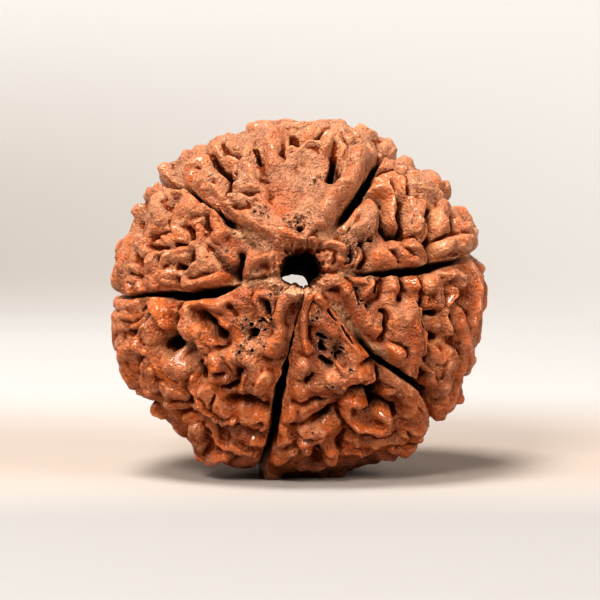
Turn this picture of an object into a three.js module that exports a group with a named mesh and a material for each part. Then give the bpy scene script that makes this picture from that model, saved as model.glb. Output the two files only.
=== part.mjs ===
// Rudraksha seed: the woody stone of one fruit, grown in one piece.
// Six clefts part it into six lobes, and a natural bore runs through it from its front mouth to its
// back one. Each lobe is covered in ridges, plates, furrows and pits that melt into each other. The seed
// stands on its rim and leans back a little. Millimetres and degrees, +Z up; the front mouth faces -Y.

import * as THREE from "three";

// The smooth body that the ridges reach up to is an ellipsoid, thinnest along the bore.
const HALF_WIDTH = 11.85;
const HALF_HEIGHT = 11.45;
const HALF_THICKNESS = 9;
const CENTRE = new THREE.Vector3(0.018, 0.138, 11);
const LEAN = 10.7;
const TURN = 1.7;

// The bore lies a little above the body's centre, so the lobes above it are the shorter ones.
const BORE_RADIUS = 1.12;
const BORE_RIGHT = -0.18;
const BORE_UP = 1.1;
const MOUTH_RADIUS = 1.45;
const MOUTH_ROUNDING = 0.6;

// The eye of the front chart: how far off it is, and how steeply it looks down.
const EYE_DISTANCE = 300;
const EYE_DROP = 6;

// The relief, as heights above the smooth body, all of them stretched by RELIEF. A ridge is
// round-backed and a plate has a flatter top. A hollow pulls its surroundings down by a share of its
// depth, the skirt, so the masses between hollows are rounded. Round the rim and over the back the
// relief is lower, by SIDE_RELIEF.
const FLOOR_LEVEL = -0.48;
const RELIEF = 1.45;
const ROUND = 4;
const FLAT = 8;
const BLEND = 0.28;
const WANDER = 0.2;
const SHIVER = 0.1;
const SKIRT = 0.2;
const SKIRT_REACH = 0.65;
const VALLEY_REACH = 0.9;
const SIDE_RELIEF = 0.68;

// The mesh: columns in each lobe, turning from the right-hand cleft, then rows on the front, back and bore.
const LOBE_COLUMNS = [15, 24, 15, 25, 19, 18];
const FRONT_ROWS = 27;
const BACK_ROWS = 18;
const BORE_ROWS = 5;
const RIM_POLAR = 98;
const PATCH_RADIUS = 0.25;
const PATCH_POINTS = 6;

const { lerp, clamp, degToRad, radToDeg } = THREE.MathUtils;
const at = (x, y, z) => new THREE.Vector3(x, y, z);

// The body's own frame has x to its right, y along the bore from front to back, and z up its face.
const halfSizes = at(HALF_WIDTH, HALF_THICKNESS, HALF_HEIGHT);
const boreMiddle = at(BORE_RIGHT, 0, BORE_UP);
const fromBody = new THREE.Matrix4()
  .makeRotationZ(degToRad(TURN))
  .multiply(new THREE.Matrix4().makeRotationX(-degToRad(LEAN)))
  .setPosition(CENTRE);
const toBody = fromBody.clone().invert();

// How far along a ray the smooth body's surface is, or the ray's nearest pass where it misses.
function reach(start, way, nearSide) {
  const s = start.clone().divide(halfSizes);
  const w = way.clone().divide(halfSizes);
  const a = w.dot(w);
  const b = s.dot(w);
  const root = Math.sqrt(Math.max(0, b * b - a * (s.dot(s) - 1)));
  return (nearSide ? -b - root : root - b) / a;
}

// A place on the body is told by its polar angle from the front end of the bore and its turn round the bore.
function onBody(polar, turn) {
  const side = Math.sin(degToRad(polar));
  const [right, up] = [side * Math.cos(degToRad(turn)), side * Math.sin(degToRad(turn))];
  const way = at(right, -Math.cos(degToRad(polar)), up);
  return boreMiddle.clone().addScaledVector(way, reach(boreMiddle, way, false));
}

function polarOf(point) {
  const way = point.clone().sub(boreMiddle);
  return radToDeg(Math.acos(-way.y / way.length()));
}

function turnOf(point) {
  const turn = radToDeg(Math.atan2(point.z - boreMiddle.z, point.x - boreMiddle.x));
  return turn < -20 ? turn + 360 : turn;
}

const fromBore = (point) => Math.hypot(point.x - boreMiddle.x, point.z - boreMiddle.z);
const outwardOf = (point) => point.clone().divide(halfSizes).divide(halfSizes).normalize();

const eye = at(0, -Math.cos(degToRad(EYE_DROP)), Math.sin(degToRad(EYE_DROP)));
eye.multiplyScalar(EYE_DISTANCE).add(CENTRE);
const chartUp = at(0, Math.sin(degToRad(EYE_DROP)), Math.cos(degToRad(EYE_DROP)));
const eyeInBody = eye.clone().applyMatrix4(toBody);

// How squarely the body faces the eye at a point: 1 where it does, and 0 at the seed's outline.
const facing = (point) => outwardOf(point).dot(eyeInBody.clone().sub(point).normalize());

// The front chart is the seed as the eye sees it: u to the right and v up from the centre, in millimetres.
// A point drawn past the seed's outline is drawn in to the outline.
function fromChart([u, v]) {
  const keep = Math.min(1, 0.995 / Math.hypot(u / HALF_WIDTH, v / HALF_HEIGHT));
  const aim = CENTRE.clone().addScaledVector(chartUp, v * keep).add(at(u * keep, 0, 0));
  const way = aim.applyMatrix4(toBody).sub(eyeInBody).normalize();
  return eyeInBody.clone().addScaledVector(way, reach(eyeInBody, way, true));
}

// A stroke of relief follows a line, with a half width and a level above the smooth body.
function stroke(line, half, level, edge, raised) {
  const around = new THREE.Sphere().setFromPoints(line);
  around.radius += WANDER + SHIVER + (raised ? 2.6 * half : 2 * SKIRT_REACH + half);
  return { line, half, level, edge, raised, around };
}

const ridge = (chart, half, level) => stroke(chart.map(fromChart), half, level, ROUND, true);
const plate = (chart, half, level) => stroke(chart.map(fromChart), half, level, FLAT, true);
const pit = (chart, half, depth) => stroke(chart.map(fromChart), half, -depth, ROUND, false);
const furrow = (chart, half, depth) => stroke(chart.map(fromChart), half, -depth, FLAT, false);
const broad = (chart, size, rise) => ({ line: chart.map(fromChart), size, rise });

// The clefts, turning from the right-hand one, are drawn from the bore outwards. Each station holds its
// place on the chart, the slot's half width and depth, and the depth of the soft valley it lies in.
// Over the back, at four polar angles, all slots have the same sizes, and each cleft strays by a few
// degrees from a straight course.
const STRAY_POLARS = [107, 125, 150, 172];
const STRAY_SLOTS = [[0.36, 2.8, 0.3], [0.34, 2.8, 0.3], [0.28, 2.2, 0.3], [0.17, 1.1, 0.1]];
const clefts = [
  {
    chart: [
      [1.4, 1.8, 0.2, 0.8, 0.1], [2.4, 1.75, 0.3, 0.8, 0.3], [3.4, 1.7, 0.4, 1.0, 0.4],
      [4.4, 1.7, 0.2, 1.5, 0.4], [5.0, 1.7, 0.2, 2.4, 0.3], [6.0, 1.7, 0.26, 3.0, 0.25],
      [7.0, 1.8, 0.34, 3.2, 0.25], [8.0, 1.9, 0.36, 3.2, 0.3], [9.0, 2.15, 0.36, 3.2, 0.3],
      [10.0, 2.4, 0.28, 3.0, 0.3], [11.3, 2.72, 0.16, 2.2, 0.3],
    ],
    stray: [6, 2, -2, 3],
  },
  {
    chart: [
      [1.0, 3.0, 0.2, 0.9, 0.1], [1.7, 4.0, 0.4, 0.8, 0.5], [2.4, 4.9, 0.45, 1.3, 0.6],
      [3.0, 5.6, 0.5, 2.2, 0.5], [3.7, 6.5, 0.5, 3.2, 0.4], [4.3, 7.4, 0.48, 3.3, 0.4],
      [4.75, 8.2, 0.42, 3.3, 0.4], [5.15, 9.0, 0.26, 2.6, 0.3], [5.6, 9.6, 0.2, 2.0, 0.3],
    ],
    stray: [-8, -5, 1, 3],
  },
  {
    chart: [
      [-1.0, 2.8, 0.2, 0.5, 0.1], [-1.9, 3.6, 0.3, 0.6, 0.4], [-2.7, 4.1, 0.4, 0.8, 0.5],
      [-3.5, 4.5, 0.42, 1.1, 0.5], [-4.3, 4.9, 0.4, 1.7, 0.5], [-4.95, 5.3, 0.36, 2.4, 0.4],
      [-5.4, 5.85, 0.3, 2.8, 0.3], [-6.1, 6.25, 0.24, 2.8, 0.3], [-6.8, 6.75, 0.26, 2.8, 0.3],
      [-7.5, 7.4, 0.24, 2.4, 0.3],
    ],
    stray: [8, 5, -1, -3],
  },
  {
    chart: [
      [-1.25, 1.6, 0.17, 0.7, 0], [-2.6, 1.35, 0.2, 0.75, 0.1], [-3.8, 1.25, 0.25, 0.9, 0.3],
      [-4.6, 0.75, 0.3, 1.8, 0.4], [-5.5, 0.45, 0.38, 2.8, 0.3], [-6.5, 0.3, 0.4, 3.2, 0.3],
      [-7.5, 0.12, 0.36, 3.2, 0.3], [-8.5, 0.22, 0.36, 3.2, 0.3], [-9.4, 0.3, 0.24, 2.8, 0.3],
      [-10.3, 0.3, 0.2, 2.2, 0.3], [-11.4, 0.05, 0.17, 1.8, 0.3],
    ],
    stray: [-6, -2, 2, -3],
  },
  {
    chart: [
      [0.3, 0.4, 0.12, 0.6, 0.2], [-0.1, -0.9, 0.12, 0.9, 0.3], [-0.35, -2.0, 0.13, 1.3, 0.35],
      [-0.6, -3.0, 0.15, 1.9, 0.4], [-0.8, -4.0, 0.16, 2.4, 0.4], [-1.0, -5.0, 0.24, 3.0, 0.4],
      [-1.35, -6.3, 0.36, 3.3, 0.4], [-1.6, -7.5, 0.36, 3.3, 0.3], [-1.75, -9, 0.32, 3.2, 0.3],
      [-2.3, -10.6, 0.28, 2.8, 0.3],
    ],
    stray: [-5, -2, 3, 0],
  },
  {
    chart: [
      [1.1, 0.8, 0.17, 0.5, 0.1], [2.0, -0.4, 0.3, 0.6, 0.3], [2.8, -1.2, 0.45, 0.75, 0.5],
      [3.6, -2.1, 0.45, 0.9, 0.6], [4.4, -3.1, 0.32, 1.5, 0.5], [5.0, -4.0, 0.24, 2.4, 0.3],
      [6.5, -4.9, 0.24, 2.8, 0.3], [7.9, -5.9, 0.32, 3.0, 0.3], [8.4, -6.9, 0.3, 2.8, 0.3],
      [8.3, -8.0, 0.3, 2.6, 0.3],
    ],
    stray: [7, 3, -3, 1],
  },
];

// The relief of each lobe as the eye sees it.
const topLobe = [
  ridge([[-7.2, 7.9], [-6.9, 8.5], [-6.3, 8.8]], 0.58, 0.05),
  plate([[-6.3, 7.6], [-5.6, 8.2], [-5.2, 8.1]], 0.75, 0.1),
  ridge([[-6.2, 7.1], [-5.4, 6.9], [-5.2, 6.6]], 0.42, 0.05),
  pit([[-5.7, 8.9], [-4.9, 8.7], [-4.4, 8.0]], 0.17, 1.2),
  ridge([[-5.7, 9.2], [-5.2, 9.6]], 0.55, 0.05),
  ridge([[-4.6, 9.3], [-4.4, 8.6]], 0.38, -0.1),
  ridge([[-4.6, 9.9], [-3.9, 9.8], [-3.2, 9.8]], 0.42, -0.1),
  ridge([[-3.9, 9.2], [-3.5, 9.6]], 0.4, 0),
  plate([[-4.5, 8.0], [-3.9, 8.8], [-3.2, 8.8]], 0.5, 0),
  plate([[-4.2, 7.6], [-3.6, 8.2]], 0.42, -0.1),
  pit([[-2.9, 9.7], [-2.6, 9.1]], 0.22, 1.2),
  ridge([[-2.4, 10.4], [-2.4, 9.8]], 0.4, -0.1),
  ridge([[-1.4, 10.6], [-1.6, 9.8], [-1.9, 9.2]], 0.75, 0.15),
  pit([[-0.45, 10.6], [-0.35, 10.3]], 0.35, 1.6),
  ridge([[-0.3, 10.85], [0.3, 10.8]], 0.35, -0.2),
  ridge([[0.7, 10.6], [1.3, 10.6]], 0.55, 0.1),
  ridge([[1.7, 10.4], [2.4, 10.8], [3.1, 10.3]], 0.5, 0.1),
  ridge([[2.2, 11.0], [3.5, 10.6], [4.0, 10.2]], 0.4, 0),
  plate([[-0.7, 9.2], [0.4, 9.5], [1.4, 9.3]], 0.7, -0.1),
  plate([[-0.8, 8.4], [0.6, 8.9], [1.6, 8.6]], 0.8, -0.35),
  ridge([[-1.2, 9.6], [-0.6, 9.8], [0, 9.6], [0.5, 10.1], [1.1, 10.1], [1.7, 9.9]], 0.22, 0.05),
  ridge([[1.5, 7.9], [1.7, 7.5]], 0.34, -0.25),
  ridge([[0.8, 8.2], [1.0, 8.1]], 0.3, -0.2),
  plate([[-1.3, 7.3], [-0.3, 6.8], [0.9, 6.9]], 0.8, -0.55),
  plate([[-0.9, 5.7], [0.2, 5.8], [1.0, 6.2]], 0.65, -0.4),
  pit([[2.2, 9.4], [2.15, 8.7], [2.15, 8.0]], 0.35, 2),
  pit([[2.72, 8.5], [2.5, 7.9]], 0.16, 1.2),
  ridge([[1.6, 9.7], [2.3, 10.3], [2.75, 9.7], [2.6, 9.2], [2.55, 8.8]], 0.36, 0.25),
  ridge([[4.6, 9.6], [3.8, 9.2]], 0.6, 0.1),
  plate([[3.6, 9.2], [3.5, 8.4], [3.2, 7.7], [2.9, 7.1]], 0.7, 0.15),
  ridge([[2.7, 6.9], [2.3, 6.4], [1.9, 5.9]], 0.5, 0),
  ridge([[1.5, 5.5], [2.0, 5.5]], 0.35, 0.05),
  ridge([[4.6, 9.9], [5.3, 9.8], [5.4, 9.4]], 0.35, -0.1),
  pit([[0.1, 4.85], [0.0, 4.6]], 0.25, 1.4),
  ridge([[1.6, 5.0], [0.9, 4.9], [0.5, 4.3], [0.25, 3.8]], 0.35, 0.05),
  ridge(
    [[-4.7, 6.1], [-4.0, 5.6], [-3.4, 5.1], [-2.6, 4.7], [-1.9, 4.5], [-1.2, 4.2], [-0.4, 4.1]],
    0.4, 0.05,
  ),
  ridge([[-1.8, 4.6], [-1.4, 4.0], [-1.6, 3.5]], 0.35, 0),
  plate([[-4.4, 6.6], [-3.9, 6.5]], 0.45, 0),
  plate([[-2.9, 5.5], [-2.2, 5.3], [-1.5, 5.1]], 0.5, -0.35),
  pit([[-3.6, 6.65], [-3.2, 6.9], [-2.7, 7.0]], 0.17, 1),
  ridge([[-3.7, 7.1], [-3.0, 7.3], [-2.4, 7.0], [-2.1, 6.5]], 0.27, 0),
  ridge([[-3.4, 6.4], [-2.8, 6.7], [-2.3, 6.3], [-2.1, 5.9]], 0.22, -0.05),
  ridge([[-3.3, 7.9], [-3.3, 8.2], [-3.0, 8.6], [-2.4, 8.5], [-2.1, 8.1]], 0.27, 0),
  furrow([[-5.9, 9.1], [-5.3, 8.75], [-4.9, 8.65], [-4.5, 8.2], [-4.6, 7.6], [-4.8, 7.0]], 0.17, 1.25),
  furrow([[-4.9, 9.9], [-4.8, 9.55], [-4.4, 9.5], [-4.0, 9.3]], 0.12, 0.75),
  furrow([[-4.05, 9.0], [-4.2, 8.4]], 0.13, 0.9),
  furrow([[-4.75, 6.95], [-4.2, 7.0], [-3.6, 6.75]], 0.13, 0.8),
  furrow([[-4.3, 6.0], [-3.4, 5.9]], 0.18, 0.65),
  furrow([[-2.4, 8.1], [-2.1, 8.0]], 0.22, 0.7),
  furrow([[-2.55, 9.3], [-2.5, 8.6], [-1.9, 8.0], [-1.8, 7.2], [-2.0, 6.6]], 0.3, 0.7),
  furrow([[-7.5, 8.0], [-7.0, 8.25], [-6.2, 8.5]], 0.12, 0.45),
  furrow([[3.0, 9.85], [3.5, 9.85], [4.1, 9.95]], 0.13, 1.0),
  furrow([[1.2, 10.2], [1.6, 10.5], [1.7, 10.9]], 0.12, 0.6),
  furrow([[4.3, 9.6], [4.5, 9.2], [4.4, 8.8]], 0.13, 0.3),
  furrow([[5.2, 9.8], [5.3, 9.3], [5.1, 9.1]], 0.12, 0.8),
  furrow([[2.65, 8.9], [2.6, 8.4]], 0.12, 1.2),
  furrow([[-0.9, 10.4], [-1.0, 9.9], [-1.2, 9.4]], 0.14, 0.6),
];

const upperRightLobe = [
  plate([[7.0, 3.8], [8.0, 4.2]], 0.9, -0.2),
  plate([[8.4, 6.6], [8.9, 5.8]], 0.9, -0.15),
  plate([[3.6, 4.0], [4.4, 4.6]], 0.7, -0.2),
  ridge([[5.05, 7.2], [5.6, 6.7], [5.95, 5.9], [5.95, 5.2]], 0.52, 0.15),
  ridge([[5.95, 5.0], [6.5, 4.8]], 0.4, 0.05),
  ridge([[5.4, 8.0], [5.9, 7.9], [6.15, 7.3]], 0.4, -0.1),
  ridge([[6.6, 7.9], [6.85, 7.3], [7.0, 6.75]], 0.38, 0.1),
  ridge([[5.9, 8.3], [6.5, 8.3], [7.0, 8.0]], 0.3, -0.15),
  ridge([[5.4, 8.75], [6.1, 8.85], [6.6, 8.5]], 0.38, -0.05),
  plate([[7.4, 7.7], [8.0, 7.2], [8.6, 6.9]], 0.75, 0),
  plate([[7.4, 6.3], [7.7, 5.7], [7.6, 5.0], [7.5, 4.6]], 0.6, 0.05),
  pit([[6.75, 6.2], [6.85, 5.3]], 0.2, 1.2),
  ridge([[7.5, 6.5], [8.1, 6.1], [8.0, 5.5], [8.05, 5.0], [8.4, 4.4], [8.3, 3.8]], 0.3, 0.1),
  pit([[8.5, 5.9], [8.4, 5.2]], 0.4, 2.2),
  plate([[9.3, 5.6], [9.2, 4.8], [9.5, 4.3]], 0.55, 0),
  ridge([[9.0, 6.1], [9.5, 5.9]], 0.4, 0),
  pit([[9.85, 5.3], [10.0, 4.5]], 0.2, 1.4),
  ridge([[10.1, 5.1], [10.5, 4.6]], 0.32, 0),
  plate([[9.1, 3.4], [9.8, 3.4], [10.8, 3.5]], 0.62, 0.15),
  ridge([[5.2, 2.7], [5.8, 2.4], [6.2, 2.2]], 0.5, 0.1),
  ridge([[6.3, 3.2], [6.8, 2.7], [7.6, 2.45]], 0.4, 0.05),
  ridge([[6.8, 3.7], [7.4, 3.3], [8.0, 2.9], [8.5, 2.6]], 0.35, 0.05),
  ridge([[6.7, 3.7], [7.3, 3.9], [7.8, 3.6]], 0.35, 0),
  pit([[8.5, 3.6], [8.5, 3.0]], 0.22, 1.5),
  plate([[4.6, 5.9], [4.4, 5.2], [4.3, 4.5]], 0.6, 0.05),
  ridge([[4.5, 6.3], [3.9, 5.9], [3.4, 5.3], [3.0, 4.6]], 0.3, 0.05),
  ridge([[4.7, 6.2], [5.0, 5.5], [5.2, 4.8]], 0.3, 0.1),
  pit([[5.2, 6.3], [5.45, 5.4], [5.55, 4.7]], 0.17, 1.8),
  plate([[4.8, 3.7], [5.4, 3.8], [5.9, 4.0]], 0.5, -0.35),
  pit([[4.1, 3.65], [4.1, 3.5]], 0.3, 1.5),
  ridge([[2.6, 3.3], [3.2, 3.2], [3.6, 2.9], [3.5, 2.4], [3.1, 2.2], [2.6, 2.6]], 0.26, 0.05),
  ridge([[3.9, 3.5], [4.1, 2.9], [3.9, 2.4]], 0.28, 0.1),
  ridge([[0.9, 3.7], [1.6, 3.65], [2.2, 3.35], [2.6, 3.2]], 0.32, 0.3),
  plate([[1.5, 2.9], [1.7, 2.3]], 0.5, -0.35),
  furrow([[5.2, 8.4], [5.6, 8.6], [6.3, 8.55], [6.7, 8.2], [7.1, 7.6], [7.2, 7.0]], 0.13, 0.8),
  furrow([[6.2, 7.9], [6.3, 7.3], [6.35, 6.9], [6.6, 6.3]], 0.14, 1.1),
  furrow([[5.0, 7.7], [5.6, 7.6], [6.1, 7.2], [6.25, 6.8]], 0.1, 0.6),
  furrow(
    [[4.8, 6.6], [5.15, 6.2], [5.35, 5.6], [5.5, 5.0], [5.75, 4.5], [6.1, 4.25], [6.7, 4.15]],
    0.19, 1.7,
  ),
  furrow([[6.85, 6.4], [6.75, 5.8], [6.75, 5.2], [6.9, 4.8], [6.8, 4.4]], 0.2, 1.2),
  furrow([[7.2, 6.8], [7.6, 6.6], [8.1, 6.4], [8.3, 6.0]], 0.13, 0.65),
  furrow([[8.4, 5.2], [8.55, 4.6], [8.75, 4.0], [8.6, 3.6]], 0.18, 1.1),
  furrow([[8.9, 3.95], [9.4, 4.0], [9.9, 4.15]], 0.13, 0.75),
  furrow([[8.5, 3.4], [8.65, 3.0], [8.85, 2.6]], 0.17, 1.4),
  furrow([[6.6, 4.05], [7.4, 4.05], [7.65, 3.7], [8.0, 3.35], [8.4, 3.05]], 0.12, 0.75),
  furrow([[6.1, 3.1], [6.2, 2.75], [6.5, 2.4]], 0.12, 0.65),
  furrow([[7.0, 3.2], [7.3, 2.75], [7.8, 2.5]], 0.1, 0.5),
  furrow([[4.25, 3.1], [4.35, 2.6], [4.2, 2.2]], 0.14, 0.85),
  furrow([[3.0, 2.3], [3.35, 2.35], [3.5, 2.8], [3.2, 3.1]], 0.1, 0.6),
  furrow([[7.2, 5.7], [7.4, 5.4], [7.35, 5.0]], 0.12, 0.45),
];

const lowerRightLobe = [
  plate([[6.6, -1.4], [6.9, -2.6], [7.1, -3.8]], 0.95, -0.05),
  plate([[9.1, -4.2], [9.0, -5.2]], 0.9, -0.15),
  plate([[1.4, 1.0], [2.4, 1.1], [3.0, 0.7]], 0.55, 0.2),
  ridge([[2.9, 1.0], [3.2, 0.3], [3.6, -0.4], [4.1, -1.2], [4.7, -1.8], [5.3, -2.3]], 0.42, 0.1),
  plate([[1.2, 0.5], [1.9, 0.0], [2.6, -0.3]], 0.36, -0.25),
  ridge([[3.9, 1.2], [4.3, 1.2]], 0.3, 0),
  ridge([[4.9, 1.2], [4.6, 0.7], [4.2, 0.1]], 0.25, 0.1),
  plate([[4.6, -0.9], [5.2, -0.1], [5.6, 0.4]], 0.55, -0.4),
  pit([[5.3, 1.1], [4.95, 0.4]], 0.2, 1.2),
  ridge([[6.1, 1.0], [6.4, 0.9]], 0.62, 0.15),
  ridge([[6.3, 0.6], [6.3, -0.1]], 0.45, -0.1),
  ridge([[7.4, 1.15], [7.5, 0.8]], 0.45, 0.1),
  pit([[6.95, 0.6], [6.7, 0.0]], 0.22, 1.3),
  plate([[8.3, 0.8], [9.0, 1.0]], 0.65, 0.05),
  plate([[9.0, 0.6], [9.1, -0.2]], 0.5, 0.05),
  ridge([[9.6, 1.5], [10.1, 1.75], [10.5, 1.3], [10.5, 0.8]], 0.4, 0.15),
  pit([[9.6, 0.95], [9.6, 0.3]], 0.16, 1.3),
  ridge([[9.95, 0.6], [10.0, 0.1], [9.7, -0.3]], 0.27, 0.05),
  ridge([[11.0, 2.1], [11.4, 1.2], [11.45, 0.2], [11.3, -0.8], [11.05, -1.5]], 0.5, 0.05),
  pit([[10.7, 0.6], [10.5, -0.2]], 0.25, 1.2),
  pit([[8.3, -1.1], [9.0, -0.85]], 0.25, 1.8),
  ridge([[8.2, -0.1], [8.2, -0.6], [8.7, -0.5], [9.3, -0.5]], 0.22, 0),
  ridge([[9.5, -0.8], [9.7, -1.5], [9.75, -2.2]], 0.36, 0.15),
  plate([[9.1, -1.4], [8.8, -1.8]], 0.45, -0.25),
  pit([[8.5, -2.6], [9.2, -2.6]], 0.32, 1.9),
  ridge([[10.2, -0.9], [10.5, -1.5], [10.55, -2.3], [10.6, -3.0]], 0.36, 0),
  plate([[7.0, -0.6], [7.2, -1.6], [7.4, -2.6], [7.3, -3.6], [7.3, -4.3]], 0.65, 0),
  ridge([[7.8, -0.8], [7.9, -1.4], [8.2, -2.1], [8.1, -2.8], [8.1, -3.6]], 0.27, 0.15),
  plate([[6.0, -0.9], [6.6, -1.7]], 0.5, -0.35),
  ridge([[5.6, -0.9], [6.0, -1.3], [6.2, -1.7]], 0.35, 0),
  ridge([[6.15, -3.4], [6.35, -3.7]], 0.55, 0.25),
  plate([[7.2, -4.3], [7.2, -4.8]], 0.35, 0.05),
  ridge([[8.4, -3.1], [8.8, -3.4], [9.0, -3.9]], 0.4, 0.1),
  pit([[8.25, -3.4], [8.35, -4.1]], 0.2, 1.4),
  plate([[9.6, -3.4], [9.5, -4.4], [9.4, -5.2], [9.2, -5.9]], 0.45, 0.05),
  ridge([[9.8, -3.3], [9.9, -4.2], [9.7, -5.1], [9.4, -6.0], [9.1, -6.6]], 0.27, 0.12),
  ridge([[8.1, -4.3], [8.5, -5.0], [8.6, -5.6]], 0.4, 0.05),
  plate([[9.0, -5.6], [8.9, -6.3]], 0.5, 0),
  ridge([[10.5, -3.2], [10.5, -4.2], [10.2, -5.2], [9.8, -6.0], [9.3, -6.7]], 0.38, -0.05),
  pit([[8.4, -6.1], [8.55, -6.8]], 0.25, 1.6),
  ridge([[8.9, -7.0], [8.7, -7.6], [8.3, -7.9]], 0.36, -0.1),
  furrow([[10.0, -3.0], [10.05, -4.2], [9.9, -4.9], [9.5, -5.9]], 0.12, 0.75),
  furrow([[9.7, -0.9], [9.95, -1.4], [10.15, -2.1], [10.0, -2.7]], 0.13, 0.9),
  furrow([[8.0, -0.9], [7.95, -1.4], [8.25, -2.0], [8.4, -2.5]], 0.13, 0.9),
  furrow([[5.5, -0.9], [5.8, -1.5], [5.75, -2.1], [5.5, -2.6]], 0.2, 1.0),
  furrow([[5.7, -2.85], [6.3, -2.8], [6.75, -3.2], [6.75, -3.8]], 0.12, 0.5),
  furrow([[5.6, 1.3], [5.45, 0.7], [5.2, 0.1], [4.8, -0.3]], 0.14, 0.8),
  furrow([[6.95, 1.2], [6.9, 0.6], [6.75, 0.0]], 0.16, 1.3),
  furrow([[8.0, 1.4], [7.95, 0.9], [7.8, 0.3], [7.9, -0.3]], 0.12, 0.7),
  furrow([[3.35, 1.4], [3.5, 0.9], [3.9, 0.5], [4.0, -0.1]], 0.14, 0.8),
  furrow([[10.75, 1.7], [10.85, 1.0], [10.75, 0.2], [10.6, -0.4], [10.8, -1.2]], 0.16, 1.1),
  furrow([[9.4, 1.4], [9.45, 0.9], [9.5, 0.2]], 0.12, 0.8),
  furrow([[8.0, -4.4], [8.3, -4.9], [8.2, -5.6]], 0.14, 0.9),
];

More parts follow.
